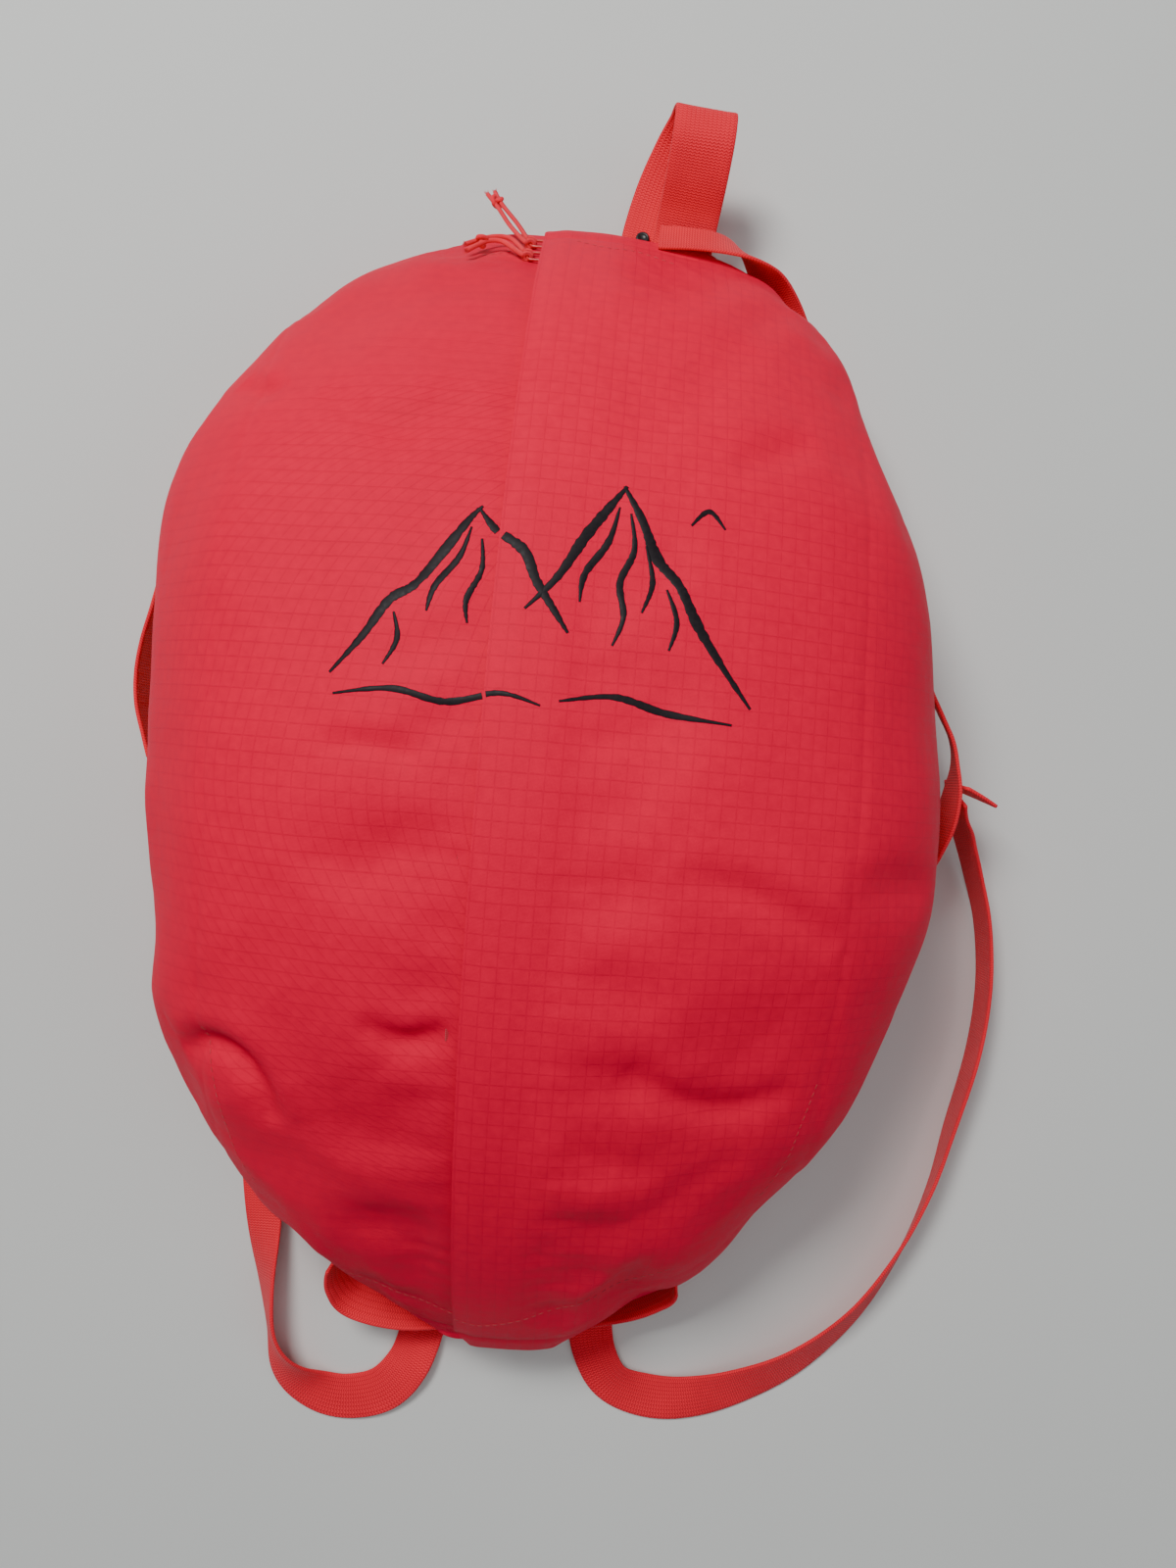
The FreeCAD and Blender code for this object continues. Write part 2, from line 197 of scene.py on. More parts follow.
# ---------------------------------------------------------------------------
# Materials: every pattern is worked out from the mesh's own UVs, in metres
# ---------------------------------------------------------------------------
class Nodes:
    """A short way to write a material's node tree."""

    def __init__(self, name, color, roughness, **sockets):
        self.material = bpy.data.materials.new(name)
        self.material.use_nodes = True
        self.tree = self.material.node_tree
        self.shader = self.tree.nodes["Principled BSDF"]
        self.shader.inputs["Base Color"].default_value = (*color, 1.0)
        self.shader.inputs["Roughness"].default_value = roughness
        for key, value in sockets.items():
            self.shader.inputs[key.replace("_", " ")].default_value = value

    def add(self, kind, **settings):
        node = self.tree.nodes.new(kind)
        for key, value in settings.items():
            setattr(node, key, value)
        return node

    def link(self, source, target):
        self.tree.links.new(source, target)

    def math(self, operation, a, b=0.0, c=0.0):
        node = self.add("ShaderNodeMath", operation=operation)
        for socket, value in zip(node.inputs, (a, b, c)):
            if isinstance(value, (int, float)):
                socket.default_value = value
            else:
                self.link(value, socket)
        return node.outputs[0]

    def uv(self):
        node = self.add("ShaderNodeUVMap", uv_map="cloth")
        split = self.add("ShaderNodeSeparateXYZ")
        self.link(node.outputs[0], split.inputs[0])
        return split.outputs[0], split.outputs[1]

    def object_point(self):
        return self.add("ShaderNodeTexCoord").outputs["Object"]

    def noise(self, scale, detail=3.0, roughness=0.5):
        node = self.add("ShaderNodeTexNoise")
        node.inputs["Scale"].default_value = scale
        node.inputs["Detail"].default_value = detail
        node.inputs["Roughness"].default_value = roughness
        self.link(self.object_point(), node.inputs["Vector"])
        return node.outputs[0]

    def wave(self, value, pitch, phase=0.0):
        """0 to 1 and back once in each pitch."""
        turns = self.math("MULTIPLY_ADD", value, 2.0 * math.pi / pitch, phase)
        return self.math("MULTIPLY_ADD", self.math("SINE", turns), 0.5, 0.5)

    def line(self, value, pitch, share):
        """1 on a thin line in each pitch, 0 between."""
        part = self.math("FRACT", self.math("DIVIDE", value, pitch))
        near = self.math("ABSOLUTE", self.math("SUBTRACT", part, 0.5))
        return self.math("GREATER_THAN", near, 0.5 - share / 2.0)

    def mix(self, factor, low, high):
        node = self.add("ShaderNodeMix", data_type="RGBA")
        self.link(factor, node.inputs[0])
        node.inputs[6].default_value = (*low, 1.0)
        node.inputs[7].default_value = (*high, 1.0)
        return node.outputs[2]

    def ramp(self, value, low, high):
        node = self.add("ShaderNodeMapRange")
        self.link(value, node.inputs[0])
        node.inputs[1].default_value = 0.3
        node.inputs[2].default_value = 0.7
        node.inputs[3].default_value = low
        node.inputs[4].default_value = high
        return node.outputs[0]

    def shade(self, color, factor):
        """A colour made lighter or darker by a factor."""
        node = self.add("ShaderNodeVectorMath", operation="SCALE")
        self.link(color, node.inputs[0])
        self.link(factor, node.inputs["Scale"])
        return node.outputs[0]

    def bump(self, height, distance, strength=1.0):
        node = self.add("ShaderNodeBump")
        node.inputs["Strength"].default_value = strength
        node.inputs["Distance"].default_value = distance
        self.link(height, node.inputs["Height"])
        self.link(node.outputs[0], self.shader.inputs["Normal"])

    def color(self, socket):
        self.link(socket, self.shader.inputs["Base Color"])

    def roughness(self, socket):
        self.link(socket, self.shader.inputs["Roughness"])


RED = (0.80, 0.001, 0.046)
RED_DEEP = (0.58, 0.001, 0.03)
WEBBING_RED = (1.0, 0.02, 0.05)
# The webbing's red darkened: painted shade for the grooves between threads and between braided strands.
WEBBING_GROOVE_SHADE = (0.78, 0.010, 0.026)
RIPSTOP_PITCH = 0.0054
RIPSTOP_LINE = 0.075
THREAD_PITCH = 0.00042
WEFT_PITCH = 0.0011
BRAID_PITCH = 0.00092


def ripstop_cloth():
    """Coated ripstop: a fine plain weave, a grid of doubled threads and a dry satin sheen."""
    m = Nodes("ripstop_cloth", RED, 0.5, Specular_IOR_Level=0.05)
    u, v = m.uv()
    grid = m.math("MAXIMUM", m.line(u, RIPSTOP_PITCH, RIPSTOP_LINE), m.line(v, RIPSTOP_PITCH, RIPSTOP_LINE))
    weave = m.math("MULTIPLY", m.wave(u, THREAD_PITCH), m.wave(v, THREAD_PITCH, 1.57))
    cloud = m.noise(9.0, 4.0)
    fine = m.noise(260.0, 2.0)
    tone = m.ramp(cloud, 0.93, 1.07)
    tone = m.math("MULTIPLY", tone, m.ramp(fine, 0.96, 1.04))
    tone = m.math("MULTIPLY_ADD", grid, -0.06, tone)
    m.color(m.shade(m.mix(m.ramp(cloud, 0.0, 0.25), RED, RED_DEEP), tone))
    m.roughness(m.math("ADD", m.ramp(fine, 0.45, 0.54), m.math("MULTIPLY", grid, -0.06)))
    height = m.math("MULTIPLY_ADD", grid, 0.75, m.math("MULTIPLY", weave, 0.35))
    height = m.math("MULTIPLY_ADD", fine, 0.35, height)
    m.bump(height, 0.00016, 0.8)
    return m.material


def webbing_material(name, rib_pitch):
    """Nylon webbing: lengthwise ribs crossed by slanting weft, with painted highlight on the thread crowns
    and painted shade in the grooves between them.
    """
    m = Nodes(name, WEBBING_RED, 0.62, Sheen_Weight=0.1, Sheen_Roughness=0.4, Specular_IOR_Level=0.2)
    u, v = m.uv()
    ribs = m.wave(u, rib_pitch)
    slant = m.math("MULTIPLY_ADD", u, 0.6, v)
    weft = m.wave(slant, WEFT_PITCH)
    back_weft = m.wave(m.math("MULTIPLY_ADD", u, -0.6, v), WEFT_PITCH)
    threads = m.math("MULTIPLY", ribs, weft)
    threads = m.math("MAXIMUM", threads, m.math("MULTIPLY", m.math("SUBTRACT", 1.0, ribs), back_weft))
    cloud = m.noise(45.0, 3.0)
    # Painted highlight and shade: colour and tone follow the thread crowns, paler on them and darker in the
    # grooves, on top of the random cloud.
    tone = m.math("MULTIPLY", m.ramp(cloud, 0.93, 1.07), m.math("MULTIPLY_ADD", threads, 0.30, 0.80))
    m.color(m.shade(m.mix(threads, WEBBING_GROOVE_SHADE, WEBBING_RED), tone))
    m.roughness(m.ramp(threads, 0.72, 0.55))
    m.bump(m.math("MULTIPLY_ADD", ribs, 0.55, threads), 0.00022, 0.9)
    return m.material


def braided_cord():
    """Braided accessory cord: two sets of strands that cross on the slant, with painted shade darkening the
    colour between the strands.
    """
    m = Nodes("pull_cord_weave", WEBBING_RED, 0.58, Sheen_Weight=0.1, Specular_IOR_Level=0.2)
    u, v = m.uv()
    one = m.wave(m.math("MULTIPLY_ADD", u, 1.0, v), BRAID_PITCH)
    two = m.wave(m.math("MULTIPLY_ADD", u, -1.0, v), BRAID_PITCH)
    braid = m.math("MAXIMUM", one, two)
    # Painted shade: the colour is darker between the strands and full red on their crowns.
    m.color(m.shade(m.mix(braid, WEBBING_GROOVE_SHADE, WEBBING_RED), m.ramp(m.noise(120.0), 0.92, 1.06)))
    m.bump(braid, 0.00018, 0.9)
    return m.material


def painted_metal():
    """Enamelled zinc: a thin even coat, rubbed along its edges and softly rippled."""
    m = Nodes("painted_slider_metal", (0.62, 0.022, 0.028), 0.34, Coat_Weight=0.35, Coat_Roughness=0.2)
    wear = m.noise(900.0, 4.0)
    point = m.add("ShaderNodeNewGeometry").outputs["Pointiness"]
    edge = m.add("ShaderNodeMapRange")
    m.link(point, edge.inputs[0])
    edge.inputs[1].default_value = 0.56
    edge.inputs[2].default_value = 0.72
    rubbed = m.math("MULTIPLY", edge.outputs[0], wear)
    m.color(m.mix(rubbed, (0.62, 0.022, 0.028), (0.50, 0.30, 0.28)))
    m.roughness(m.ramp(wear, 0.28, 0.42))
    m.bump(m.noise(1400.0, 2.0), 0.00004, 0.6)
    return m.material


def zip_weave():
    """Polyester zip tape: a fine herringbone."""
    m = Nodes("zip_tape_weave", RED_DEEP, 0.7, Sheen_Weight=0.15)
    u, v = m.uv()
    slant = m.wave(m.math("MULTIPLY_ADD", m.wave(u, 0.003), 0.0006, v), 0.0008)
    m.color(m.mix(slant, (0.36, 0.008, 0.018), RED_DEEP))
    m.bump(slant, 0.0001, 0.8)
    return m.material


def coil_nylon():
    """Nylon coil, a mottled red; the real coil's slight translucency is not modelled."""
    m = Nodes("zip_coil_nylon", (0.50, 0.015, 0.03), 0.38, Specular_IOR_Level=0.5)
    m.color(m.mix(m.noise(600.0), (0.42, 0.010, 0.022), (0.58, 0.02, 0.036)))
    m.bump(m.noise(2500.0), 0.00003, 0.5)
    return m.material


def grained(m, grain, dark, light, depth, strength, polish=None):
    """Finishes a material whose colour, bump and, with polish, roughness follow one grain."""
    m.color(m.mix(grain, dark, light))
    if polish:
        m.roughness(m.ramp(grain, *polish))
    m.bump(grain, depth, strength)
    return m.material


def stitch_thread():
    """Twisted sewing thread."""
    m = Nodes("stitch_thread", (0.45, 0.012, 0.022), 0.55, Sheen_Weight=0.2)
    return grained(m, m.noise(4000.0, 2.0), (0.34, 0.008, 0.016), (0.56, 0.018, 0.03), 0.00005, 0.6)


def black_plastic():
    """Moulded black snap: fine spark texture with a dull gloss."""
    m = Nodes("black_snap_plastic", (0.012, 0.012, 0.013), 0.32, Specular_IOR_Level=0.5)
    return grained(m, m.noise(2200.0, 3.0), (0.008, 0.008, 0.009), (0.02, 0.02, 0.021), 0.00003, 0.5,
                   polish=(0.26, 0.42))


def screen_ink():
    """Screen print: a thin black film with a fine grain."""
    m = Nodes("screen_print_ink", (0.012, 0.010, 0.012), 0.6, Specular_IOR_Level=0.12)
    return grained(m, m.noise(700.0, 3.0), (0.006, 0.005, 0.007), (0.020, 0.015, 0.018), 0.00005, 0.5,
                   polish=(0.42, 0.58))


def floor_material():
    """A plain pale floor."""
    m = Nodes("floor", (0.62, 0.64, 0.63), 0.85)
    m.color(m.mix(m.noise(3.0), (0.60, 0.62, 0.61), (0.66, 0.67, 0.66)))
    return m.material


CLOTH = ripstop_cloth()
WEBBING = webbing_material("strap_webbing", 0.0018)
HANDLE_WEBBING = webbing_material("handle_webbing", 0.0028)
CORD = braided_cord()
METAL = painted_metal()
TAPE = zip_weave()
COIL = coil_nylon()
THREAD = stitch_thread()
PLASTIC = black_plastic()
INK = screen_ink()


# ---------------------------------------------------------------------------
# Camera, floor and light
# ---------------------------------------------------------------------------
CAMERA_LENS = 27.0
CAMERA_SENSOR = 36.0
CAMERA_PLACE = (0.0198, 0.0036, 0.533)
CAMERA_TURN = 4.7
LIGHT_AIM = (0.0, 0.0, 0.05)
LAMPS = {
    "key": ((-0.55, 0.85, 1.4), (0.6, 0.45), 26.0, (1.0, 0.985, 0.96)),
    "fill": ((1.3, -0.2, 1.1), (1.2, 1.2), 4.0, (0.93, 0.97, 1.0)),
    "sky": ((0.0, 0.25, 2.2), (1.6, 1.6), 10.0, (1.0, 1.0, 1.0)),
}
WORLD_COLOR = (0.82, 0.86, 0.88, 1.0)
WORLD_STRENGTH = 0.16
FLOOR_SIZE = 12.0


def camera():
    """A phone camera held flat over the sack, turned a little clockwise."""
    data = bpy.data.cameras.new("camera")
    data.sensor_width = CAMERA_SENSOR
    data.lens = CAMERA_LENS
    eye = bpy.data.objects.new("camera", data)
    SCENE.collection.objects.link(eye)
    eye.location = CAMERA_PLACE
    eye.rotation_euler = (0.0, 0.0, math.radians(CAMERA_TURN))
    SCENE.camera = eye


def lamp(name, location, size, power, color):
    """A soft rectangular light aimed at the sack."""
    data = bpy.data.lights.new(name, "AREA")
    data.shape = "RECTANGLE"
    data.size = size[0]
    data.size_y = size[1]
    data.energy = power
    data.color = color
    light = bpy.data.objects.new(name, data)
    SCENE.collection.objects.link(light)
    light.location = location
    aim = Vector(LIGHT_AIM) - Vector(location)
    light.rotation_euler = aim.to_track_quat("-Z", "Y").to_euler()


def studio():
    """Plain floor, a broad soft key from the upper left and weak fill."""
    bpy.ops.mesh.primitive_plane_add(size=FLOOR_SIZE)
    floor = bpy.context.object
    floor.name = "floor"
    floor.data.materials.append(floor_material())
    for name, settings in LAMPS.items():
        lamp(name, *settings)
    world = bpy.data.worlds.new("world")
    world.use_nodes = True
    background = world.node_tree.nodes["Background"]
    background.inputs[0].default_value = WORLD_COLOR
    background.inputs[1].default_value = WORLD_STRENGTH
    SCENE.world = world


# ---------------------------------------------------------------------------
# The sack's cloth: one sheet wrapped round the load, from the storm flap's
# free edge over the right side, under the back and up to the zip's left side
# ---------------------------------------------------------------------------
def section(y):
    """Closed outline across the sack at y, as (x, z) points from the top centre, clockwise."""
    places = [s[0] for s in STATIONS]
    left, right, low = (hermite(places, [s[k] for s in STATIONS], y) for k in (1, 2, 3))
    high = float(arc_height(y))
    widest = low + WIDEST_LEVEL * (high - low)
    turn = np.linspace(math.pi / 2, -1.5 * math.pi, 721)
    across = np.cos(turn)
    up = np.sin(turn)
    fullness = np.where(up >= 0, FRONT_FULLNESS, BACK_FULLNESS)
    half_width = np.where(across >= 0, right, left)
    half_height = np.where(up >= 0, high - widest, widest - low)
    x = half_width * np.sign(across) * np.abs(across) ** (2.0 / fullness)
    z = widest + half_height * np.sign(up) * np.abs(up) ** (2.0 / fullness)
    return x, np.maximum(z, 0.35), widest


def flap_lift(x, y):
    """How far the right panel rises over the zip; the flap's free edge gapes near the bottom end."""
    rise = FLAP_LIFT * smoothstep(FLAP_FLAT_X, 5.0, x)
    gape = 0.9 * smoothstep(-105.0, -160.0, y) * smoothstep(-226.0, -205.0, y)
    return rise - (1.1 - gape) * smoothstep(-8.0, FLAP_EDGE_X, x)


def wrapped_row(y, columns):
    """Evenly spaced points round one section, flap edge first."""
    x, z, widest = section(y)
    narrow = min(1.0, x.max() / 40.0)
    first = FLAP_EDGE_X * narrow
    last = (ZIP_X - PANEL_GAP) * narrow
    upper_left = (z > widest) & (x < 0)
    start = np.argmax(upper_left & (x > last))
    keep = np.arange(0, start)
    lead_x = np.linspace(first, 0.0, 12)[:-1]
    order = np.argsort(x[upper_left])
    lead_z = np.interp(lead_x, x[upper_left][order], z[upper_left][order])
    path_x = np.concatenate([lead_x, x[keep]])
    path_z = np.concatenate([lead_z, z[keep]])
    on_top = np.arange(len(path_x)) < len(path_x) // 2
    slope = y / ARC_RADIUS
    lift = np.where(on_top & (path_z > widest), flap_lift(path_x, y), 0.0)
    path_y = y + lift * slope
    path_z = path_z + lift * math.sqrt(1.0 - slope ** 2)
    walk = np.concatenate([[0.0], np.cumsum(np.hypot(np.diff(path_x), np.diff(path_z)))])
    at = np.linspace(0.0, walk[-1], columns)
    points = np.stack([np.interp(at, walk, path) for path in (path_x, path_y, path_z)], axis=1)
    middle = np.interp(0.0, path_x[:30], walk[:30])
    return points, at - middle


def sack_grid():
    """The whole sheet as a grid of points with UVs in metres."""
    columns = int(SHEET_GIRTH / CLOTH_STEP)
    reach = math.degrees(math.asin(SHEET_TOP_Y / ARC_RADIUS))
    back = math.degrees(math.asin(SHEET_BOTTOM_Y / ARC_RADIUS))
    rows = int(math.radians(reach - back) * ARC_RADIUS / CLOTH_STEP)
    points = []
    uvs = []
    for i in range(rows + 1):
        angle = math.radians(back + (reach - back) * i / rows)
        y = ARC_RADIUS * math.sin(angle)
        row, across = wrapped_row(y, columns)
        points.append(row)
        uvs.append(np.stack([across * MM, np.full(columns, angle * ARC_RADIUS * MM)], axis=1))
    for end, sign in ((0, -1), (-1, 1)):
        edge = points[end].copy()
        middle = (edge[:, 2].min() + edge[:, 2].max()) / 2.0
        closed = []
        for squeeze, push in ((0.62, 1.6), (0.22, 2.6), (0.03, 3.0)):
            row = edge.copy()
            row[:, 2] = middle + (edge[:, 2] - middle) * squeeze
            row[:, 1] += sign * push
            row[:, 0] *= 0.6 + 0.4 * math.sqrt(squeeze)
            closed.append(row)
        cap_uv = [uvs[end] + np.array([0.0, sign * step * MM]) for step in (3.0, 5.0, 6.5)]
        if sign > 0:
            points += closed
            uvs += cap_uv
        else:
            points = closed[::-1] + points
            uvs = cap_uv[::-1] + uvs
    return np.array(points), np.array(uvs)


def grid_mesh(name, points, uvs):
    """A quad mesh over a grid of points."""
    rows, columns = points.shape[:2]
    index = np.arange(rows * columns).reshape(rows, columns)
    faces = np.stack([index[:-1, :-1], index[:-1, 1:], index[1:, 1:], index[1:, :-1]], axis=-1)
    return mesh_from(name, points.reshape(-1, 3).tolist(), faces.reshape(-1, 4).tolist(), uvs.reshape(-1, 2))


def pin_weights(points):
    """1 where the sheet may not move: beside the zip, on the floor and at the ends."""
    x = points[..., 0]
    y = points[..., 1]
    z = points[..., 2]
    top = z > 0.45 * (arc_height(np.clip(y, -232, 230)))
    zip_hold = np.where(top, smoothstep(18.0, 8.0, np.abs(x - ZIP_X)), 0.0)
    flap_hold = np.where(top & (x > FLAP_EDGE_X - 1), smoothstep(24.0, 2.0, x), 0.0)
    floor_hold = smoothstep(3.0, 1.0, z)
    end_hold = np.maximum(smoothstep(215.0, 226.0, y), smoothstep(-217.0, -228.0, y))
    return np.clip(np.maximum.reduce([zip_hold, flap_hold, floor_hold, end_hold]), 0.0, 1.0)


CLOTH_SETTINGS = {
    "quality": 6, "mass": 0.25,
    "tension_stiffness": 25.0, "compression_stiffness": 25.0,
    "shear_stiffness": 12.0, "bending_stiffness": 3.0,
    "tension_damping": 12.0, "compression_damping": 12.0,
    "shear_damping": 12.0, "bending_damping": 1.5, "air_damping": 3.0,
    "use_pressure": True, "uniform_pressure_force": 2.0, "shrink_min": -0.024,
    "vertex_group_mass": "pin", "pin_stiffness": 8.0,
}


def swell(sheet, points):
    """Inflates and crumples the sheet by cloth simulation, and returns its new points."""
    group = sheet.vertex_groups.new(name="pin")
    weights = pin_weights(points).ravel()
    for i in np.nonzero(weights > 0.01)[0]:
        group.add([int(i)], float(weights[i]), "REPLACE")
    cloth = sheet.modifiers.new("cloth", "CLOTH")
    for key, value in CLOTH_SETTINGS.items():
        setattr(cloth.settings, key, value)
    cloth.settings.effector_weights.gravity = 0.0
    cloth.collision_settings.use_collision = False
    for number in range(1, SWELL_FRAMES + 1):
        SCENE.frame_set(number)
    apply_modifiers(sheet)
    SCENE.frame_set(1)
    moved = np.empty(len(sheet.data.vertices) * 3)
    sheet.data.vertices.foreach_get("co", moved)
    return moved.reshape(points.shape) / MM


def blurred(values, radius, passes):
    """A grid of numbers averaged over square windows, again and again."""
    for _ in range(passes):
        for axis in (0, 1):
            pad = [(0, 0)] * values.ndim
            pad[axis] = (radius + 1, radius)
            total = np.cumsum(np.pad(values, pad, mode="edge"), axis=axis)
            width = 2 * radius + 1
            high = np.take(total, range(width, total.shape[axis]), axis=axis)
            low = np.take(total, range(0, total.shape[axis] - width), axis=axis)
            values = (high - low) / width
    return values


def cap_move(points, moved, reach):
    """The wrinkles alone, without the swelling of the whole sack and within reach."""
    normals = grid_normals(points)
    shift = blurred(moved - points, 1, 1)
    out = np.sum((moved - points) * normals, axis=-1)
    shift = shift - normals * blurred(out, 4, 3)[..., None]
    size = np.linalg.norm(shift, axis=-1, keepdims=True)
    shift = shift * np.tanh(size / reach) / np.maximum(size / reach, 1e-6)
    result = points + shift
    result[..., 2] = np.maximum(result[..., 2], FLOOR_CLEARANCE)
    return result


# Folds that the load presses into the cloth: points (x, y), depth, half-width, lip
FOLDS = [
    ([(-124, 147), (-115, 141), (-104, 144)], 2.6, 6.5, 0.3),
    ([(-122, -108), (-112, -102), (-100, -104), (-90, -114), (-84, -130)], 4.6, 8.0, 0.4),
    ([(-52, -84), (-36, -90), (-20, -84)], 2.6, 6.5, 0.3),
    ([(40, -92), (58, -104), (80, -108), (104, -100)], 2.6, 9.0, 0.3),
    ([(-72, 9), (-55, 11), (-38, 8)], 1.4, 6.0, 0.3),
    ([(52, -24), (80, -30), (112, -46)], 2.0, 9.0, 0.3),
    ([(62, 122), (78, 128), (94, 137)], 2.0, 9.0, 0.3),
    ([(-88, 140), (-70, 128), (-50, 124)], 1.8, 9.0, 0.3),
]


def press_folds(points, normals):
    """Presses every fold into the front of the sheet."""
    x = points[..., 0]
    y = points[..., 1]
    front = smoothstep(0.0, 0.35, normals[..., 2])
    shift = np.zeros_like(x)
    for route, depth, width, lip in FOLDS:
        rows = catmull(route, 8)
        count = len(rows)
        nearest = np.full(x.shape, 1e9)
        side = np.zeros_like(x)
        along = np.zeros_like(x)
        for i in range(count - 1):
            a = rows[i]
            d = rows[i + 1] - a
            length = d @ d
            t = np.clip(((x - a[0]) * d[0] + (y - a[1]) * d[1]) / length, 0.0, 1.0)
            off_x = x - a[0] - t * d[0]
            off_y = y - a[1] - t * d[1]
            far = np.hypot(off_x, off_y)
            closer = far < nearest
            nearest = np.where(closer, far, nearest)
            side = np.where(closer, np.sign(d[0] * off_y - d[1] * off_x), side)
            along = np.where(closer, (i + t) / (count - 1), along)
        fade = np.sin(np.pi * np.clip(along, 0.0, 1.0)) ** 0.6
        s = nearest * side / width
        profile = -np.exp(-(s * 1.5) ** 2) + lip * np.exp(-((s - 1.3) * 1.1) ** 2)
        shift += depth * fade * profile * np.exp(-np.maximum(nearest / width - 2.4, 0.0) ** 2)
    hold = 1.0 - np.where(points[..., 2] > 40.0, smoothstep(16.0, 10.0, np.abs(x - ZIP_X - 1.0)), 0.0)
    return points + normals * (shift * front * hold)[..., None]


CRUMPLES = [  # (cells, depth, rounding at each cell's middle, seed), coarse to fine
    (46, 5.2, 9.0, 21),
    (130, -2.8, 6.0, 22),
    (420, 1.3, 3.4, 23),
]
SHEET_AREA = 4.0e5
CELL_LEVELS = 0.45
CELL_STRETCH = 0.72
MEAN_LEVEL = 0.62


def crumple(points, normals):
    """Flat facets with crisp creases between them, deepest towards the bottom end of the front."""
    flat = points.reshape(-1, 3)
    shift = np.zeros(len(flat))
    for cells, depth, rounding, seed in CRUMPLES:
        rng = random.Random(seed)
        nearest = np.full(len(flat), 1e9)
        spacing = math.sqrt(SHEET_AREA / cells)
        for _ in range(cells):
            middle = flat[rng.randrange(len(flat))]
            stretch = np.array([rng.gauss(0.0, 1.0) for _ in range(3)])
            stretch /= np.linalg.norm(stretch)
            level = rng.uniform(0.0, CELL_LEVELS) * spacing
            off = flat - middle
            far = np.sum(off * off, axis=1) - CELL_STRETCH * (off @ stretch) ** 2
            nearest = np.minimum(nearest, np.sqrt(far + rounding ** 2) + level)
        shift += depth * (nearest / spacing - MEAN_LEVEL)
    shift = shift.reshape(points.shape[:2])
    y = points[..., 1]
    z = points[..., 2]
    amount = 0.55 + 0.75 * smoothstep(-30.0, -110.0, y) + 0.2 * smoothstep(120.0, 180.0, y)
    amount = amount * smoothstep(2.0, 30.0, z) * smoothstep(224.0, 200.0, np.abs(y))
    zip_line = np.where(z > 40.0, smoothstep(26.0, 8.0, np.abs(points[..., 0] - ZIP_X - 1.0)), 0.0)
    return points + normals * (shift * amount * (1.0 - zip_line))[..., None]


def grid_normals(points):
    """Outward unit normals of a grid of points."""
    across = np.gradient(points, axis=1)
    along = np.gradient(points, axis=0)
    normals = np.cross(across, along)
    normals /= np.maximum(np.linalg.norm(normals, axis=-1, keepdims=True), 1e-9)
    centre = np.array([0.0, 0.0, 55.0])
    if np.sum((points - centre) * normals) < 0:
        normals = -normals
    return normals


def soft_billow(points, normals):
    """Low broad swells of a soft load, and a slack left side; the same on every run."""
    rng = random.Random(BILLOW_SEED)
    beside = smoothstep(110.0, 150.0, -points[..., 0]) * smoothstep(-110.0, -50.0, points[..., 1])
    shift = -LEFT_SLACK * beside
    for _ in range(BILLOWS):
        centre = np.array([rng.uniform(-150, 150), rng.uniform(-215, 215), rng.uniform(20, 140)])
        spread = rng.uniform(16, 42)
        size = rng.uniform(-1.7, 1.3)
        far = np.linalg.norm(points - centre, axis=-1)
        shift += size * np.exp(-(far / spread) ** 2)
    x = points[..., 0]
    z = points[..., 2]
    hold = 1.0 - np.where(z > 40.0, smoothstep(22.0, 10.0, np.abs(x - ZIP_X)), 0.0)
    hold = hold * smoothstep(1.0, 14.0, z)
    return points + normals * (shift * hold)[..., None]


def panel_of(center):
    """Which sewn panel a place on the unwrinkled sack belongs to."""
    x, y, z = center
    if y > END_SEAM_Y + END_SEAM_LEAN * z:
        return "top_panel"
    if -y > END_SEAM_Y + END_SEAM_LEAN * z:
        return "bottom_panel"
    if z < BACK_SEAM_Z:
        return "back_panel"
    if x < -SIDE_SEAM_X:
        return "left_side_panel"
    if x > SIDE_SEAM_X:
        return "right_side_panel"
    return None


SEAM_PLANES = [
    ((SIDE_SEAM_X, 0, 0), (1, 0, 0)),
    ((-SIDE_SEAM_X, 0, 0), (1, 0, 0)),
    ((0, 0, BACK_SEAM_Z), (0, 0, 1)),
    ((0, END_SEAM_Y, 0), (0, 1, -END_SEAM_LEAN)),
    ((0, -END_SEAM_Y, 0), (0, -1, -END_SEAM_LEAN)),
]


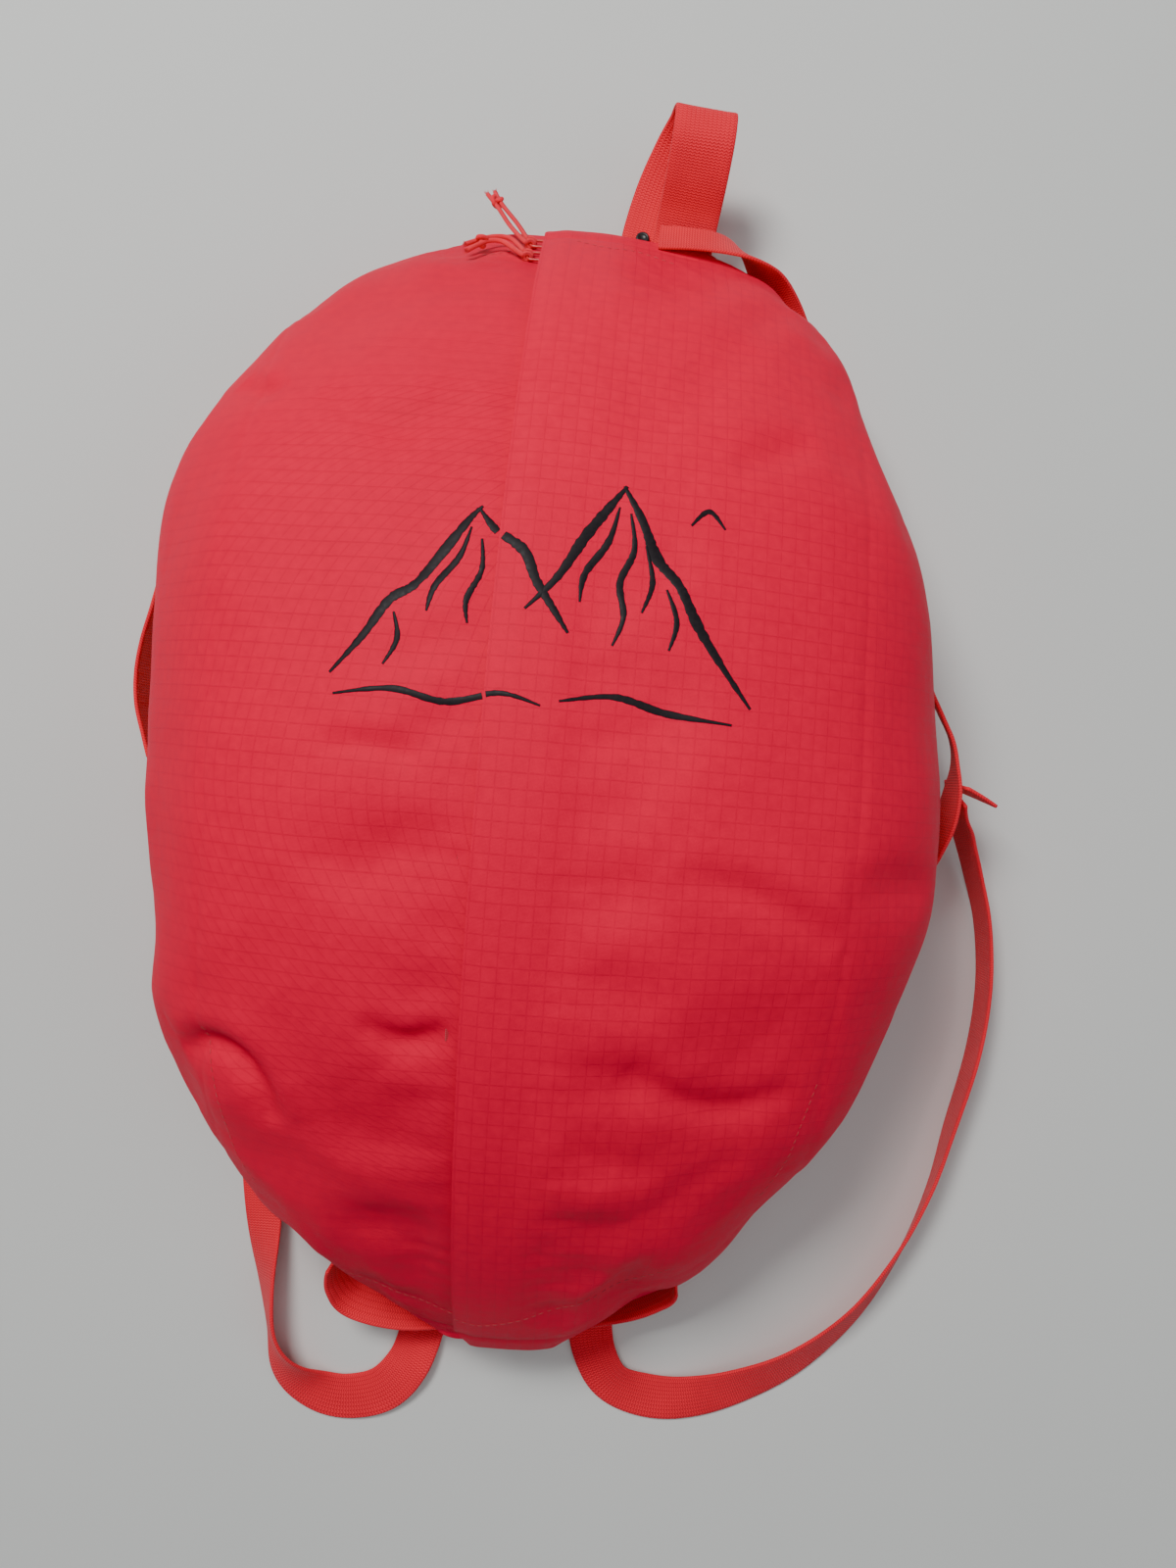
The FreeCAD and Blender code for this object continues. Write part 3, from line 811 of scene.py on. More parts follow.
def cut_panels(rest, moved, uvs):
    """Cuts the sheet along its seams, measured before it was crumpled, into one mesh a panel."""
    bm = bmesh.new()
    sheet = grid_mesh("sheet", rest, uvs)
    bm.from_mesh(sheet)
    place = bm.verts.layers.float_vector.new("moved")
    for vert, target in zip(bm.verts, moved.reshape(-1, 3)):
        vert[place] = Vector(target) * MM
    for point, normal in SEAM_PLANES:
        bmesh.ops.bisect_plane(bm, geom=bm.verts[:] + bm.edges[:] + bm.faces[:], dist=2e-5,
                               plane_co=Vector(point) * MM, plane_no=Vector(normal).normalized())
    uv = bm.loops.layers.uv["cloth"]
    bm.faces.index_update()
    kinds = {}
    for face in bm.faces:
        kind = panel_of(face.calc_center_median() / MM)
        if kind is None:
            across = sum(loop[uv].uv[0] for loop in face.loops) / len(face.loops)
            kind = "right_front_panel" if across < 0.3 else "left_front_panel"
        kinds.setdefault(kind, set()).add(face.index)
    for vert in bm.verts:
        vert.co = vert[place]
    bm.normal_update()
    if sum(vert.normal.dot(vert.co - Vector((0, 0, 0.055))) for vert in bm.verts) < 0:
        bmesh.ops.reverse_faces(bm, faces=bm.faces[:])
        bm.normal_update()
    smooth = bm.verts.layers.float_vector.new("smooth")
    for vert in bm.verts:
        vert[smooth] = vert.normal
    pieces = {}
    for kind, members in kinds.items():
        part = bm.copy()
        part.faces.ensure_lookup_table()
        gone = [face for face in part.faces if face.index not in members]
        bmesh.ops.delete(part, geom=gone, context="FACES")
        pieces[kind] = thick_cloth(kind + "_cloth", part)
    bm.free()
    bpy.data.meshes.remove(sheet)
    return pieces


def thick_cloth(name, part):
    """Gives a cut panel its thickness, and keeps the whole sheet's shading across the seams."""
    smooth = part.verts.layers.float_vector["smooth"]
    uv = part.loops.layers.uv["cloth"]
    outer = part.faces[:]
    inner = {}
    for vert in part.verts[:]:
        normal = vert[smooth].normalized()
        inner[vert] = part.verts.new(vert.co - normal * (CLOTH_THICKNESS * MM))
        inner[vert][smooth] = -normal
    rims = [edge.link_loops[0] for edge in part.edges if edge.is_boundary]
    rims = [(loop.vert, loop.link_loop_next.vert, loop[uv].uv.copy(), loop.link_loop_next[uv].uv.copy())
            for loop in rims]
    for face in outer:
        loops = face.loops[:][::-1]
        back = part.faces.new([inner[loop.vert] for loop in loops])
        for new, old in zip(back.loops, loops):
            new[uv].uv = old[uv].uv
    rim_faces = set()
    for start, end, start_uv, end_uv in rims:
        rim = part.faces.new([end, start, inner[start], inner[end]])
        rim_faces.add(rim)
        for loop, value in zip(rim.loops, (end_uv, start_uv, start_uv, end_uv)):
            loop[uv].uv = value
    part.normal_update()
    split = []
    for face in part.faces:
        split += [tuple(face.normal if face in rim_faces else loop.vert[smooth].normalized())
                  for loop in face.loops]
    mesh = bpy.data.meshes.new(name)
    part.to_mesh(mesh)
    part.free()
    mesh.shade_smooth()
    mesh.normals_split_custom_set(split)
    return link(name, mesh, CLOTH)


def refine(grid):
    """A grid with new points half way between, smoothed by cubic weights."""
    for axis in (0, 1):
        grid = np.swapaxes(grid, 0, axis)
        padded = np.concatenate([2 * grid[:1] - grid[1:2], grid, 2 * grid[-1:] - grid[-2:-1]])
        between = (-padded[:-3] + 9 * padded[1:-2] + 9 * padded[2:-1] - padded[3:]) / 16.0
        rows = np.empty((len(grid) + len(between),) + grid.shape[1:])
        rows[0::2] = grid
        rows[1::2] = between
        grid = np.swapaxes(rows, 0, axis)
    return grid


def seam_valleys(rest, points, normals):
    """Draws the cloth in along its side, back and end seams."""
    x = rest[..., 0]
    y = rest[..., 1]
    z = rest[..., 2]
    lean = math.hypot(1.0, END_SEAM_LEAN)
    end = (np.abs(y) - END_SEAM_Y - END_SEAM_LEAN * z) / lean
    shift = -0.7 * np.exp(-(end / 1.8) ** 2)
    tube = smoothstep(1.0, -2.0, end)
    upper = smoothstep(BACK_SEAM_Z - 1, BACK_SEAM_Z + 1, z)
    shift += -0.35 * tube * upper * np.exp(-((np.abs(x) - SIDE_SEAM_X) / 1.6) ** 2)
    shift += -1.2 * tube * np.exp(-((z - BACK_SEAM_Z) / 2.0) ** 2)
    return points + normals * shift[..., None]


def make_sack():
    """Wraps, swells, folds and cuts the sack's cloth."""
    rest, uvs = sack_grid()
    sheet = link("sheet", grid_mesh("sheet", rest, uvs), CLOTH)
    moved = cap_move(rest, swell(sheet, rest), WRINKLE_REACH)
    bpy.data.objects.remove(sheet)
    moved = soft_billow(moved, grid_normals(rest))
    rest, uvs, moved = refine(rest), refine(uvs), refine(moved)
    normals = grid_normals(moved)
    moved = press_folds(crumple(moved, normals), normals)
    moved = seam_valleys(rest, moved, normals)
    moved[..., 2] = np.maximum(moved[..., 2], FLOOR_CLEARANCE)
    pieces = cut_panels(rest, moved, uvs)
    for kind, piece in pieces.items():
        flap = ["storm_flap"] if kind == "right_front_panel" else []
        fit(piece, "sack", "ripstop_cloth", kind, *flap)
    return pieces


# ---------------------------------------------------------------------------
# Webbing
# ---------------------------------------------------------------------------
WEBBING_WIDTH = 20.0
WEBBING_THICKNESS = 1.6
HAUL_WIDTH = 26.0
HAUL_THICKNESS = 1.8

RIGHT_UPPER_STRAP = [(31, 236.4, 36.0, 40), (45, 236.5, 36.6, 42), (59, 235.4, 36.0, 48),
                     (70, 232.2, 32.5, 72), (79, 226.8, 26.0, 106), (87, 218.0, 17.5, 130),
                     (94, 205.5, 9.6, 156), (102, 188.0, 4.4, 175), (110, 167.0, 1.4, 180),
                     (116, 143.0, 0.9, 180), (124, 120.0, 0.9, 180), (131, 99.0, 0.9, 180),
                     (135, 84.0, 0.9, 180)]
LEFT_UPPER_STRAP = [(-16, 232.0, 14, 4), (-34, 228.0, 7, 2), (-58, 218.0, 2.4, 0),
                    (-84, 203.0, 0.9, 0), (-106, 184.0, 0.9, 0), (-125, 158.0, 0.9, 0),
                    (-137, 128.0, 0.9, 0), (-142, 98.0, 0.9, 0)]
RIGHT_SIDE_LOOP = [(150.8, 77, 44, 86), (153.2, 67, 44, 84), (157.6, 56, 43, 78),
                   (164.6, 44, 42, 76), (169.8, 34, 42, 76), (171.8, 24, 42, 80),
                   (171.6, 12, 42, 94), (169.4, -1, 42, 100), (164.8, -13, 42, 100),
                   (161.6, -20, 42, 98)]
LEFT_SIDE_LOOP = [(-161.8, 70, 44, 90), (-163.8, 60, 44, 90), (-167.0, 47, 43, 90),
                  (-168.2, 34, 43, 90), (-167.0, 21, 43, 90), (-163.0, 8, 43, 90),
                  (-160.4, 0, 43, 90)]
RIGHT_LOWER_STRAP = [(175.0, 12.4, 36, 92), (178.4, 4, 29, 94), (184.6, -6, 21, 94),
                     (192.2, -22, 14, 94), (199.4, -44, 11, 92), (202.4, -72, 10.4, 90),
                     (200.0, -102, 10.4, 88), (192.4, -136, 10.3, 84),
                     (185.8, -164, 10.1, 76), (174.6, -193, 9.6, 66),
                     (157.0, -222.6, 8.4, 54), (133.0, -246.4, 6.6, 38),
                     (108.0, -261.0, 4.2, 22), (86.0, -268.6, 2.2, 8),
                     (68.0, -269.5, 1.4, 3), (52.0, -264.0, 2.6, 12),
                     (43.4, -251.0, 2.6, 10), (40.0, -236.0, 0.9, 0),
                     (38.6, -222.0, 0.9, 0)]
RIGHT_STRAP_TAIL = [(175.6, 15.4, 38, 88), (181.0, 12.9, 37, 88), (188.0, 10.0, 35, 84)]
LEFT_LOWER_STRAP = [(-148, 22, 3.0, 10), (-144, -10, 0.9, 0), (-138, -52, 0.9, 0),
                    (-130, -96, 0.9, 0), (-121, -138, 0.9, 0), (-113, -176, 1.6, -4),
                    (-109, -204, 5.0, -28), (-105, -230, 8.4, -58), (-100.4, -252, 9.4, -66),
                    (-92.6, -269, 6.4, -32), (-80.0, -278.6, 2.2, -8), (-65.6, -281, 1.2, 0),
                    (-50.0, -276, 1.8, 6), (-39.6, -263, 3.2, 16), (-34.6, -247, 2.2, 8),
                    (-32.6, -232, 0.9, 0), (-31.6, -219, 0.9, 0)]
HAUL_LOOP = [(27.0, 233.8, 23.0), (28.6, 246, 20.6), (32.6, 262, 21.6), (38.6, 276, 27),
             (43.4, 283.6, 34), (45.4, 286.6, 42), (46.0, 283.0, 49.0), (45.6, 272, 49.0),
             (44.4, 260, 40.6), (43.0, 250, 30.6), (42.0, 242.4, 25.6), (41.0, 234, 24.8)]
BOTTOM_HANDLE = [(-71.5, -208.5, 25, 74), (-70, -220, 20, 58), (-63, -229.5, 14.5, 44),
                 (-44, -234.0, 12.4, 48), (-22, -233.4, 12.2, 66), (0, -232.6, 11.8, 76),
                 (30, -230.6, 12.2, 76), (56, -223, 15, 70), (70.5, -214.0, 20, 74),
                 (75, -205.5, 25, 78)]


def ribbon_frames(stations, steps, across=None):
    """Places along a ribbon with its width and thickness directions and the distance walked."""
    rows = catmull(stations, steps)
    places = [Vector(row[:3]) for row in rows]
    frames = []
    walked = 0.0
    for i, place in enumerate(places):
        along = places[min(i + 1, len(places) - 1)] - places[max(i - 1, 0)]
        along.normalize()
        if across is None:
            flat = along.cross(Vector((0, 0, 1))).normalized()
            tilt = math.radians(rows[i][3])
            wide = flat * math.cos(tilt) + flat.cross(along) * math.sin(tilt)
        else:
            wide = across - along * across.dot(along)
        wide.normalize()
        if i:
            walked += (place - places[i - 1]).length
        frames.append((place, wide, wide.cross(along), walked))
    return frames


def webbing_outline(width, thickness):
    """Cross-section of webbing with soft selvedges, as (across, through) pairs."""
    half = width / 2.0
    deep = thickness / 2.0
    lip = 0.9
    upper = [(-half, 0.0), (-half + lip * 0.25, deep * 0.72), (-half + lip, deep)]
    upper += [(-half + lip + (width - 2 * lip) * k / 8.0, deep * 0.94) for k in range(1, 8)]
    upper += [(half - lip, deep), (half - lip * 0.25, deep * 0.72), (half, 0.0)]
    lower = [(x, -z) for x, z in reversed(upper[1:-1])]
    return upper + lower


def webbing_mesh(name, stations, width, thickness, steps=8, across=None):
    """Webbing as a closed ribbon with UVs across and along it."""
    frames = ribbon_frames(stations, steps, across)
    outline = webbing_outline(width, thickness)
    count = len(outline)
    points = []
    uvs = []
    for place, wide, thick, walked in frames:
        for x, z in outline:
            points.append(place + wide * x + thick * z)
            uvs.append((x * MM, walked * MM))
    faces = ring_faces(len(frames), count)
    last = (len(frames) - 1) * count
    faces.append(tuple(range(count))[::-1])
    faces.append(tuple(last + k for k in range(count)))
    return mesh_from(name, points, faces, uvs)


def thread_run(frames_at, count, length=2.4, radius=0.22):
    """Small raised stitches: frames_at(k) gives the place, direction and normal of stitch k."""
    points = []
    faces = []
    sides = 6
    for k in range(count):
        place, direction, normal = frames_at(k)
        direction = direction.normalized()
        side = direction.cross(normal).normalized()
        up = side.cross(direction)
        start = len(points)
        for step, (along, rise, size) in enumerate(((-0.5, -0.7, 0.4), (-0.38, 0.2, 0.9), (0.0, 0.65, 1.0),
                                                    (0.38, 0.2, 0.9), (0.5, -0.7, 0.4))):
            centre = place + direction * (along * length) + up * (rise * radius)
            for s in range(sides):
                turn = 2 * math.pi * s / sides
                points.append(centre + (side * math.cos(turn) + up * math.sin(turn)) * (radius * size))
            if step:
                base = start + step * sides
                for s in range(sides):
                    t = (s + 1) % sides
                    faces.append((base - sides + s, base - sides + t, base + t, base + s))
        faces.append(tuple(start + s for s in range(sides))[::-1])
        faces.append(tuple(start + 4 * sides + s for s in range(sides)))
    return points, faces


TACK_INSET = 2.2
TACK_STITCH = 3.0
TACK_NEAR = 2.0
TACK_FAR = 9.0


def box_tack(name, frames, width, first, last):
    """A box of stitches with a cross in it, sewn through webbing between two distances."""
    spots = []
    inset = width / 2.0 - TACK_INSET
    corners = [(first, -inset), (last, -inset), (last, inset), (first, inset)]
    lines = list(zip(corners, corners[1:] + corners[:1]))
    lines += [(corners[0], corners[2]), (corners[1], corners[3])]
    for (a0, x0), (a1, x1) in lines:
        length = math.hypot(a1 - a0, x1 - x0)
        number = max(2, int(length / TACK_STITCH))
        for k in range(number):
            t = (k + 0.5) / number
            spots.append((a0 + (a1 - a0) * t, x0 + (x1 - x0) * t, a1 - a0, x1 - x0))

    def at(k):
        distance, across, d_along, d_across = spots[k]
        i = 0
        while i < len(frames) - 2 and frames[i + 1][3] < distance:
            i += 1
        place, wide, thick, walked = frames[i]
        after = frames[i + 1]
        t = (distance - walked) / max(after[3] - walked, 1e-6)
        along = (after[0] - place).normalized()
        centre = place.lerp(after[0], t) + wide * across + thick * (WEBBING_THICKNESS / 2.0)
        return centre, along * d_along + wide * d_across, thick

    fit(made(name, thread_run(at, len(spots)), THREAD), "sack", "strap_webbing")


def make_strap(node, stations, width=WEBBING_WIDTH, thickness=WEBBING_THICKNESS, material=WEBBING,
               body="sack", across=None):
    """One run of webbing that stands for its CAD node."""
    name = node + "_webbing"
    piece = link(name, webbing_mesh(name, stations, width, thickness, across=across), material)
    if body == "haul_loop":
        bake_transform(piece)
    elif body == "bottom_handle":
        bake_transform(piece)
    else:
        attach(piece, body)
    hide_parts(node)


def make_webbing():
    """Every strap, loop and handle, and the box tacks of the side loops."""
    straps = {"right_upper_strap": RIGHT_UPPER_STRAP, "left_upper_strap": LEFT_UPPER_STRAP,
              "right_side_loop": RIGHT_SIDE_LOOP, "left_side_loop": LEFT_SIDE_LOOP,
              "right_lower_strap": RIGHT_LOWER_STRAP, "left_lower_strap": LEFT_LOWER_STRAP,
              "right_strap_tail": RIGHT_STRAP_TAIL}
    for node, stations in straps.items():
        make_strap(node, stations)
    make_strap("bottom_handle", BOTTOM_HANDLE, material=HANDLE_WEBBING, body="bottom_handle")
    make_strap("haul_loop", HAUL_LOOP, HAUL_WIDTH, HAUL_THICKNESS, body="haul_loop",
               across=Vector((1, -0.1, 0)))
    for node in ("right_side_loop", "left_side_loop"):
        frames = ribbon_frames(straps[node], 8)
        end = frames[-1][3]
        box_tack(node + "_tack_a", frames, WEBBING_WIDTH, TACK_NEAR, TACK_FAR)
        box_tack(node + "_tack_b", frames, WEBBING_WIDTH, end - TACK_FAR, end - TACK_NEAR)


# ---------------------------------------------------------------------------
# Things that follow the front's arc: zip coils, tapes, sliders and rings
# ---------------------------------------------------------------------------
TAPE_WIDTH = 16.0
COIL_HALF_WIDTH = 2.9
COIL_GAP = 0.6
STOP_ANGLE = 0.4
SLIDER_ANGLES = {"lower": 44.25, "upper": 46.9}
COIL_PITCH = 1.35
RING_FAR_X = -15.95
RING_LEVEL = 1.05


def on_arc(x, along, out, angle):
    """A point beside the zip: x from its middle, along from the angle's place, out from the arc."""
    radius = ARC_RADIUS + out
    turn = math.radians(angle) + along / ARC_RADIUS
    return Vector((ZIP_X + x, radius * math.sin(turn), ARC_CENTRE_Z + radius * math.cos(turn)))


def carried(point, angle):
    """A point of a rigid piece built at the arc's top, carried along the arc."""
    turn = math.radians(angle)
    y = point[1]
    z = point[2] + ARC_RADIUS
    return Vector((ZIP_X + point[0], y * math.cos(turn) + z * math.sin(turn),
                   ARC_CENTRE_Z - y * math.sin(turn) + z * math.cos(turn)))


def tube(points, radius, sides=8, closed=False):
    """Points, faces and UVs of a round tube along a line; radius may be one number a point."""
    points = [Vector(p) for p in points]
    count = len(points)
    radii = radius if isinstance(radius, list) else [radius] * count
    rings = []
    uvs = []
    side = None
    walked = 0.0
    for i, place in enumerate(points):
        before = points[i - 1] if (i or closed) else place
        after = points[(i + 1) % count] if (i < count - 1 or closed) else place
        along = (after - before).normalized()
        if side is None:
            side = along.orthogonal().normalized()
        side = (side - along * side.dot(along)).normalized()
        up = along.cross(side)
        if i:
            walked += (place - points[i - 1]).length
        for s in range(sides):
            turn = 2 * math.pi * s / sides
            rings.append(place + (side * math.cos(turn) + up * math.sin(turn)) * radii[i])
            uvs.append((turn * radii[0] * MM, walked * MM))
    faces = []
    for i in range(count if closed else count - 1):
        for s in range(sides):
            a = i * sides + s
            b = i * sides + (s + 1) % sides
            step = sides if i < count - 1 else -i * sides
            faces.append((a, b, b + step, a + step))
    if not closed:
        faces.append(tuple(range(sides))[::-1])
        faces.append(tuple((count - 1) * sides + s for s in range(sides)))
    return rings, faces, uvs


def merged(parts):
    """Several (points, faces, uvs) as one."""
    points = []
    faces = []
    uvs = []
    for more_points, more_faces, more_uvs in parts:
        start = len(points)
        points += more_points
        faces += [tuple(start + k for k in face) for face in more_faces]
        uvs += more_uvs
    return points, faces, uvs


def make_zip():
    """Woven tapes with two nylon coils and their end stops."""
    ends = math.radians(ZIP_HALF_ANGLE) * ARC_RADIUS
    for name, side in (("left", -1), ("right", 1)):
        outline = [(COIL_HALF_WIDTH, -3.15), (TAPE_WIDTH - 0.3, -3.2), (TAPE_WIDTH, -2.9),
                   (TAPE_WIDTH - 0.3, -2.6), (5.5, -2.55), (5.0, -2.3), (4.4, -2.3), (4.0, -2.6),
                   (COIL_HALF_WIDTH, -2.65)]
        steps = 120
        points = []
        uvs = []
        for i in range(steps + 1):
            along = -ends + 2 * ends * i / steps
            for x, out in outline:
                points.append(on_arc(side * x, along, out, 0.0))
                uvs.append((x * MM, along * MM))
        count = len(outline)
        faces = ring_faces(steps + 1, count)
        faces += [tuple(range(count)), tuple(steps * count + k for k in range(count))]
        node = "zip_tape_" + name
        fit(made(node + "_weave", (points, faces, uvs), TAPE), "sack", "zip_tape_weave", node)
        turns = int((2 * ends - 6.0) / COIL_PITCH)
        line = []
        for i in range(turns * 8):
            turn = 2 * math.pi * i / 8.0
            reach = 0.5 + 0.5 * math.cos(turn)
            x = COIL_GAP + 0.25 + (COIL_HALF_WIDTH - COIL_GAP - 0.5) * reach
            out = -2.9 + 0.72 * math.sin(turn)
            line.append(on_arc(side * x, -ends + 3.0 + COIL_PITCH * i / 8.0, out, 0.0))
        node = "zip_coil_" + name
        fit(made(node + "_wire", tube(line, 0.27, 5), COIL), "sack", "zip_coil_nylon", node)
    for name, sign in (("top", 1), ("bottom", -1)):
        middle = sign * (ZIP_HALF_ANGLE - STOP_ANGLE / 2.0)
        rise = [(-COIL_HALF_WIDTH, -2.8), (-2.2, -2.3), (2.2, -2.3), (COIL_HALF_WIDTH, -2.8)]
        bumps = [tube([on_arc(x, along, out, middle) for x, out in rise], 0.5, 8) for along in (-0.5, 0.5)]
        node = "zip_%s_stop" % name
        fit(made(node + "_bar", merged(bumps), METAL), "sack", "painted_slider_metal", node)


def plate(outline, low, high, edge):
    """A slab with a rolled rim, over an outline of (x, along) points."""
    middle = Vector((sum(p[0] for p in outline), sum(p[1] for p in outline))) / len(outline)
    levels = [(low, edge), (low + edge * 0.3, edge * 0.3), (low + edge, 0.0), (high - edge, 0.0),
              (high - edge * 0.3, edge * 0.3), (high, edge)]
    points = []
    for out, inset in levels:
        for p in outline:
            away = Vector(p) - middle
            shrunk = middle + away * (1.0 - inset / max(away.length, 1e-6))
            points.append(Vector((shrunk.x, shrunk.y, out)))
    count = len(outline)
    faces = ring_faces(len(levels), count)
    faces += [tuple(range(count))[::-1], tuple((len(levels) - 1) * count + k for k in range(count))]
    return points, faces, [(0.0, 0.0)] * len(points)


def rounded(corners, radius, steps=4):
    """An outline with its corners rounded."""
    result = []
    for i, corner in enumerate(corners):
        corner = Vector(corner)
        before = (Vector(corners[i - 1]) - corner).normalized()
        after = (Vector(corners[(i + 1) % len(corners)]) - corner).normalized()
        for k in range(steps + 1):
            t = k / steps
            a = corner + before * radius
            b = corner + after * radius
            result.append(tuple(a.lerp(corner, t).lerp(corner.lerp(b, t), t)))
    return result


def make_sliders():
    """Two cast sliders with crowns and round-wire rings."""
    for name, angle in SLIDER_ANGLES.items():
        wing = rounded([(-4.0, -6.0), (4.0, -6.0), (4.6, -1.0), (4.6, 5.0), (3.2, 6.0), (0.9, 6.0),
                        (0.0, 4.9), (-0.9, 6.0), (-3.2, 6.0), (-4.6, 5.0), (-4.6, -1.0)], 0.5, 3)
        wedge = rounded([(-0.3, -5.6), (0.3, -5.6), (0.3, 5.0), (-0.3, 5.0)], 0.15, 2)
        parts = [plate(wing, -1.5, -0.4, 0.35), plate(wing, -5.4, -4.3, 0.35),
                 plate(wedge, -4.6, -1.2, 0.05)]
        for side in (-1, 1):
            rail = rounded([(side * 3.5, -5.6), (side * 4.6, -5.6), (side * 4.6, 4.8),
                            (side * 3.5, 4.8)], 0.4, 3)
            parts.append(plate(rail, -2.1, -0.5, 0.25))
        crown = [(0, -3.15, -0.8), (0, -3.2, 0.4), (0, -3.0, 1.5), (0, -2.1, 2.1), (0, 0, 2.15),
                 (0, 2.1, 2.1), (0, 3.0, 1.5), (0, 3.2, 0.4), (0, 3.15, -0.8)]
        points, faces, uvs = tube(catmull(crown, 3), 0.45, 8)
        points = [Vector((p.x * 2.1, p.y, p.z)) for p in points]
        parts.append((points, faces, uvs))
        points, faces, uvs = merged(parts)
        node = name + "_slider"
        cast = made(node + "_cast", ([carried(p, angle) for p in points], faces, uvs), METAL)
        fit(cast, node, "painted_slider_metal", node)
        wire = rounded([(RING_FAR_X, -0.45), (3.45, -0.45), (3.45, 6.45), (RING_FAR_X, 6.45)], 2.2, 6)
        line = [carried((x, along, RING_LEVEL), angle) for x, along in wire]
        node = name + "_pull_ring"
        ring = made(node + "_wire", tube(line, 0.55, 10, True), METAL)
        fit(ring, name + "_pull", "painted_slider_metal", node)


# ---------------------------------------------------------------------------
# Pull cords
# ---------------------------------------------------------------------------
CORD_DIAMETER = 1.9
STRANDS = {
    "upper_cord_a": ([(-23.4, 225.6, 47.4), (-26.6, 231.6, 42.9), (-30.8, 238.4, 37.2),
                      (-35.1, 244.3, 33.0), (-38.5, 249.4, 29.6), (-41.0, 254.6, 26.0)], 0.0402),
    "upper_cord_b": ([(-23.4, 223.0, 49.8), (-28.0, 228.4, 44.9), (-33.0, 235.8, 38.6),
                      (-36.8, 242.6, 33.6), (-40.2, 248.0, 29.8), (-43.8, 252.6, 27.4)], 0.0425),
    "lower_cord_a": ([(-23.4, 216.0, 57.6), (-27.0, 221.6, 52.6), (-31.6, 225.6, 48.6),
                      (-37.2, 225.2, 48.9), (-42.2, 222.0, 52.4), (-47.6, 217.6, 56.6)], 0.0356),
    "lower_cord_b": ([(-23.4, 213.4, 59.9), (-28.6, 217.8, 56.2), (-33.2, 221.9, 52.6),
                      (-37.6, 221.9, 52.6), (-41.4, 219.4, 55.0), (-46.4, 213.6, 59.8)], 0.0330),
}
KNOTS = {"upper": (-39.4, 248.8, 29.7), "lower": (-41.8, 220.7, 53.7)}


def smooth_route(points):
    """Points read from the NURBS spline that a route's points control."""
    curve = bpy.data.curves.new("route", "CURVE")
    curve.dimensions = "3D"
    curve.resolution_u = 10
    spline = curve.splines.new("NURBS")
    spline.points.add(len(points) - 1)
    for point, place in zip(spline.points, points):
        point.co = (*(c * MM for c in place), 1.0)
    spline.order_u = 3
    spline.use_endpoint_u = True
    holder = bpy.data.objects.new("route", curve)
    SCENE.collection.objects.link(holder)
    line = bpy.data.meshes.new_from_object(holder)
    places = [vert.co / MM for vert in line.vertices]
    bpy.data.objects.remove(holder)
    return places


def frayed_end(place, along, rng):
    """Loose fibres of a cut cord end."""
    along = along.normalized()
    side = along.orthogonal().normalized()
    parts = []
    for k in range(16):
        turn = 2.4 * k
        reach = CORD_DIAMETER * 0.42 * math.sqrt((k + 0.5) / 16.0)
        out = (side * math.cos(turn) + along.cross(side) * math.sin(turn))
        length = rng.uniform(1.0, 2.2)
        spread = out * rng.uniform(0.1, 0.7)
        start = place - along * 0.4 + out * reach
        line = [start, start + along * length * 0.5 + spread * 0.4, start + along * length + spread]
        parts.append(tube(line, [0.14, 0.12, 0.05], 4))
    return parts


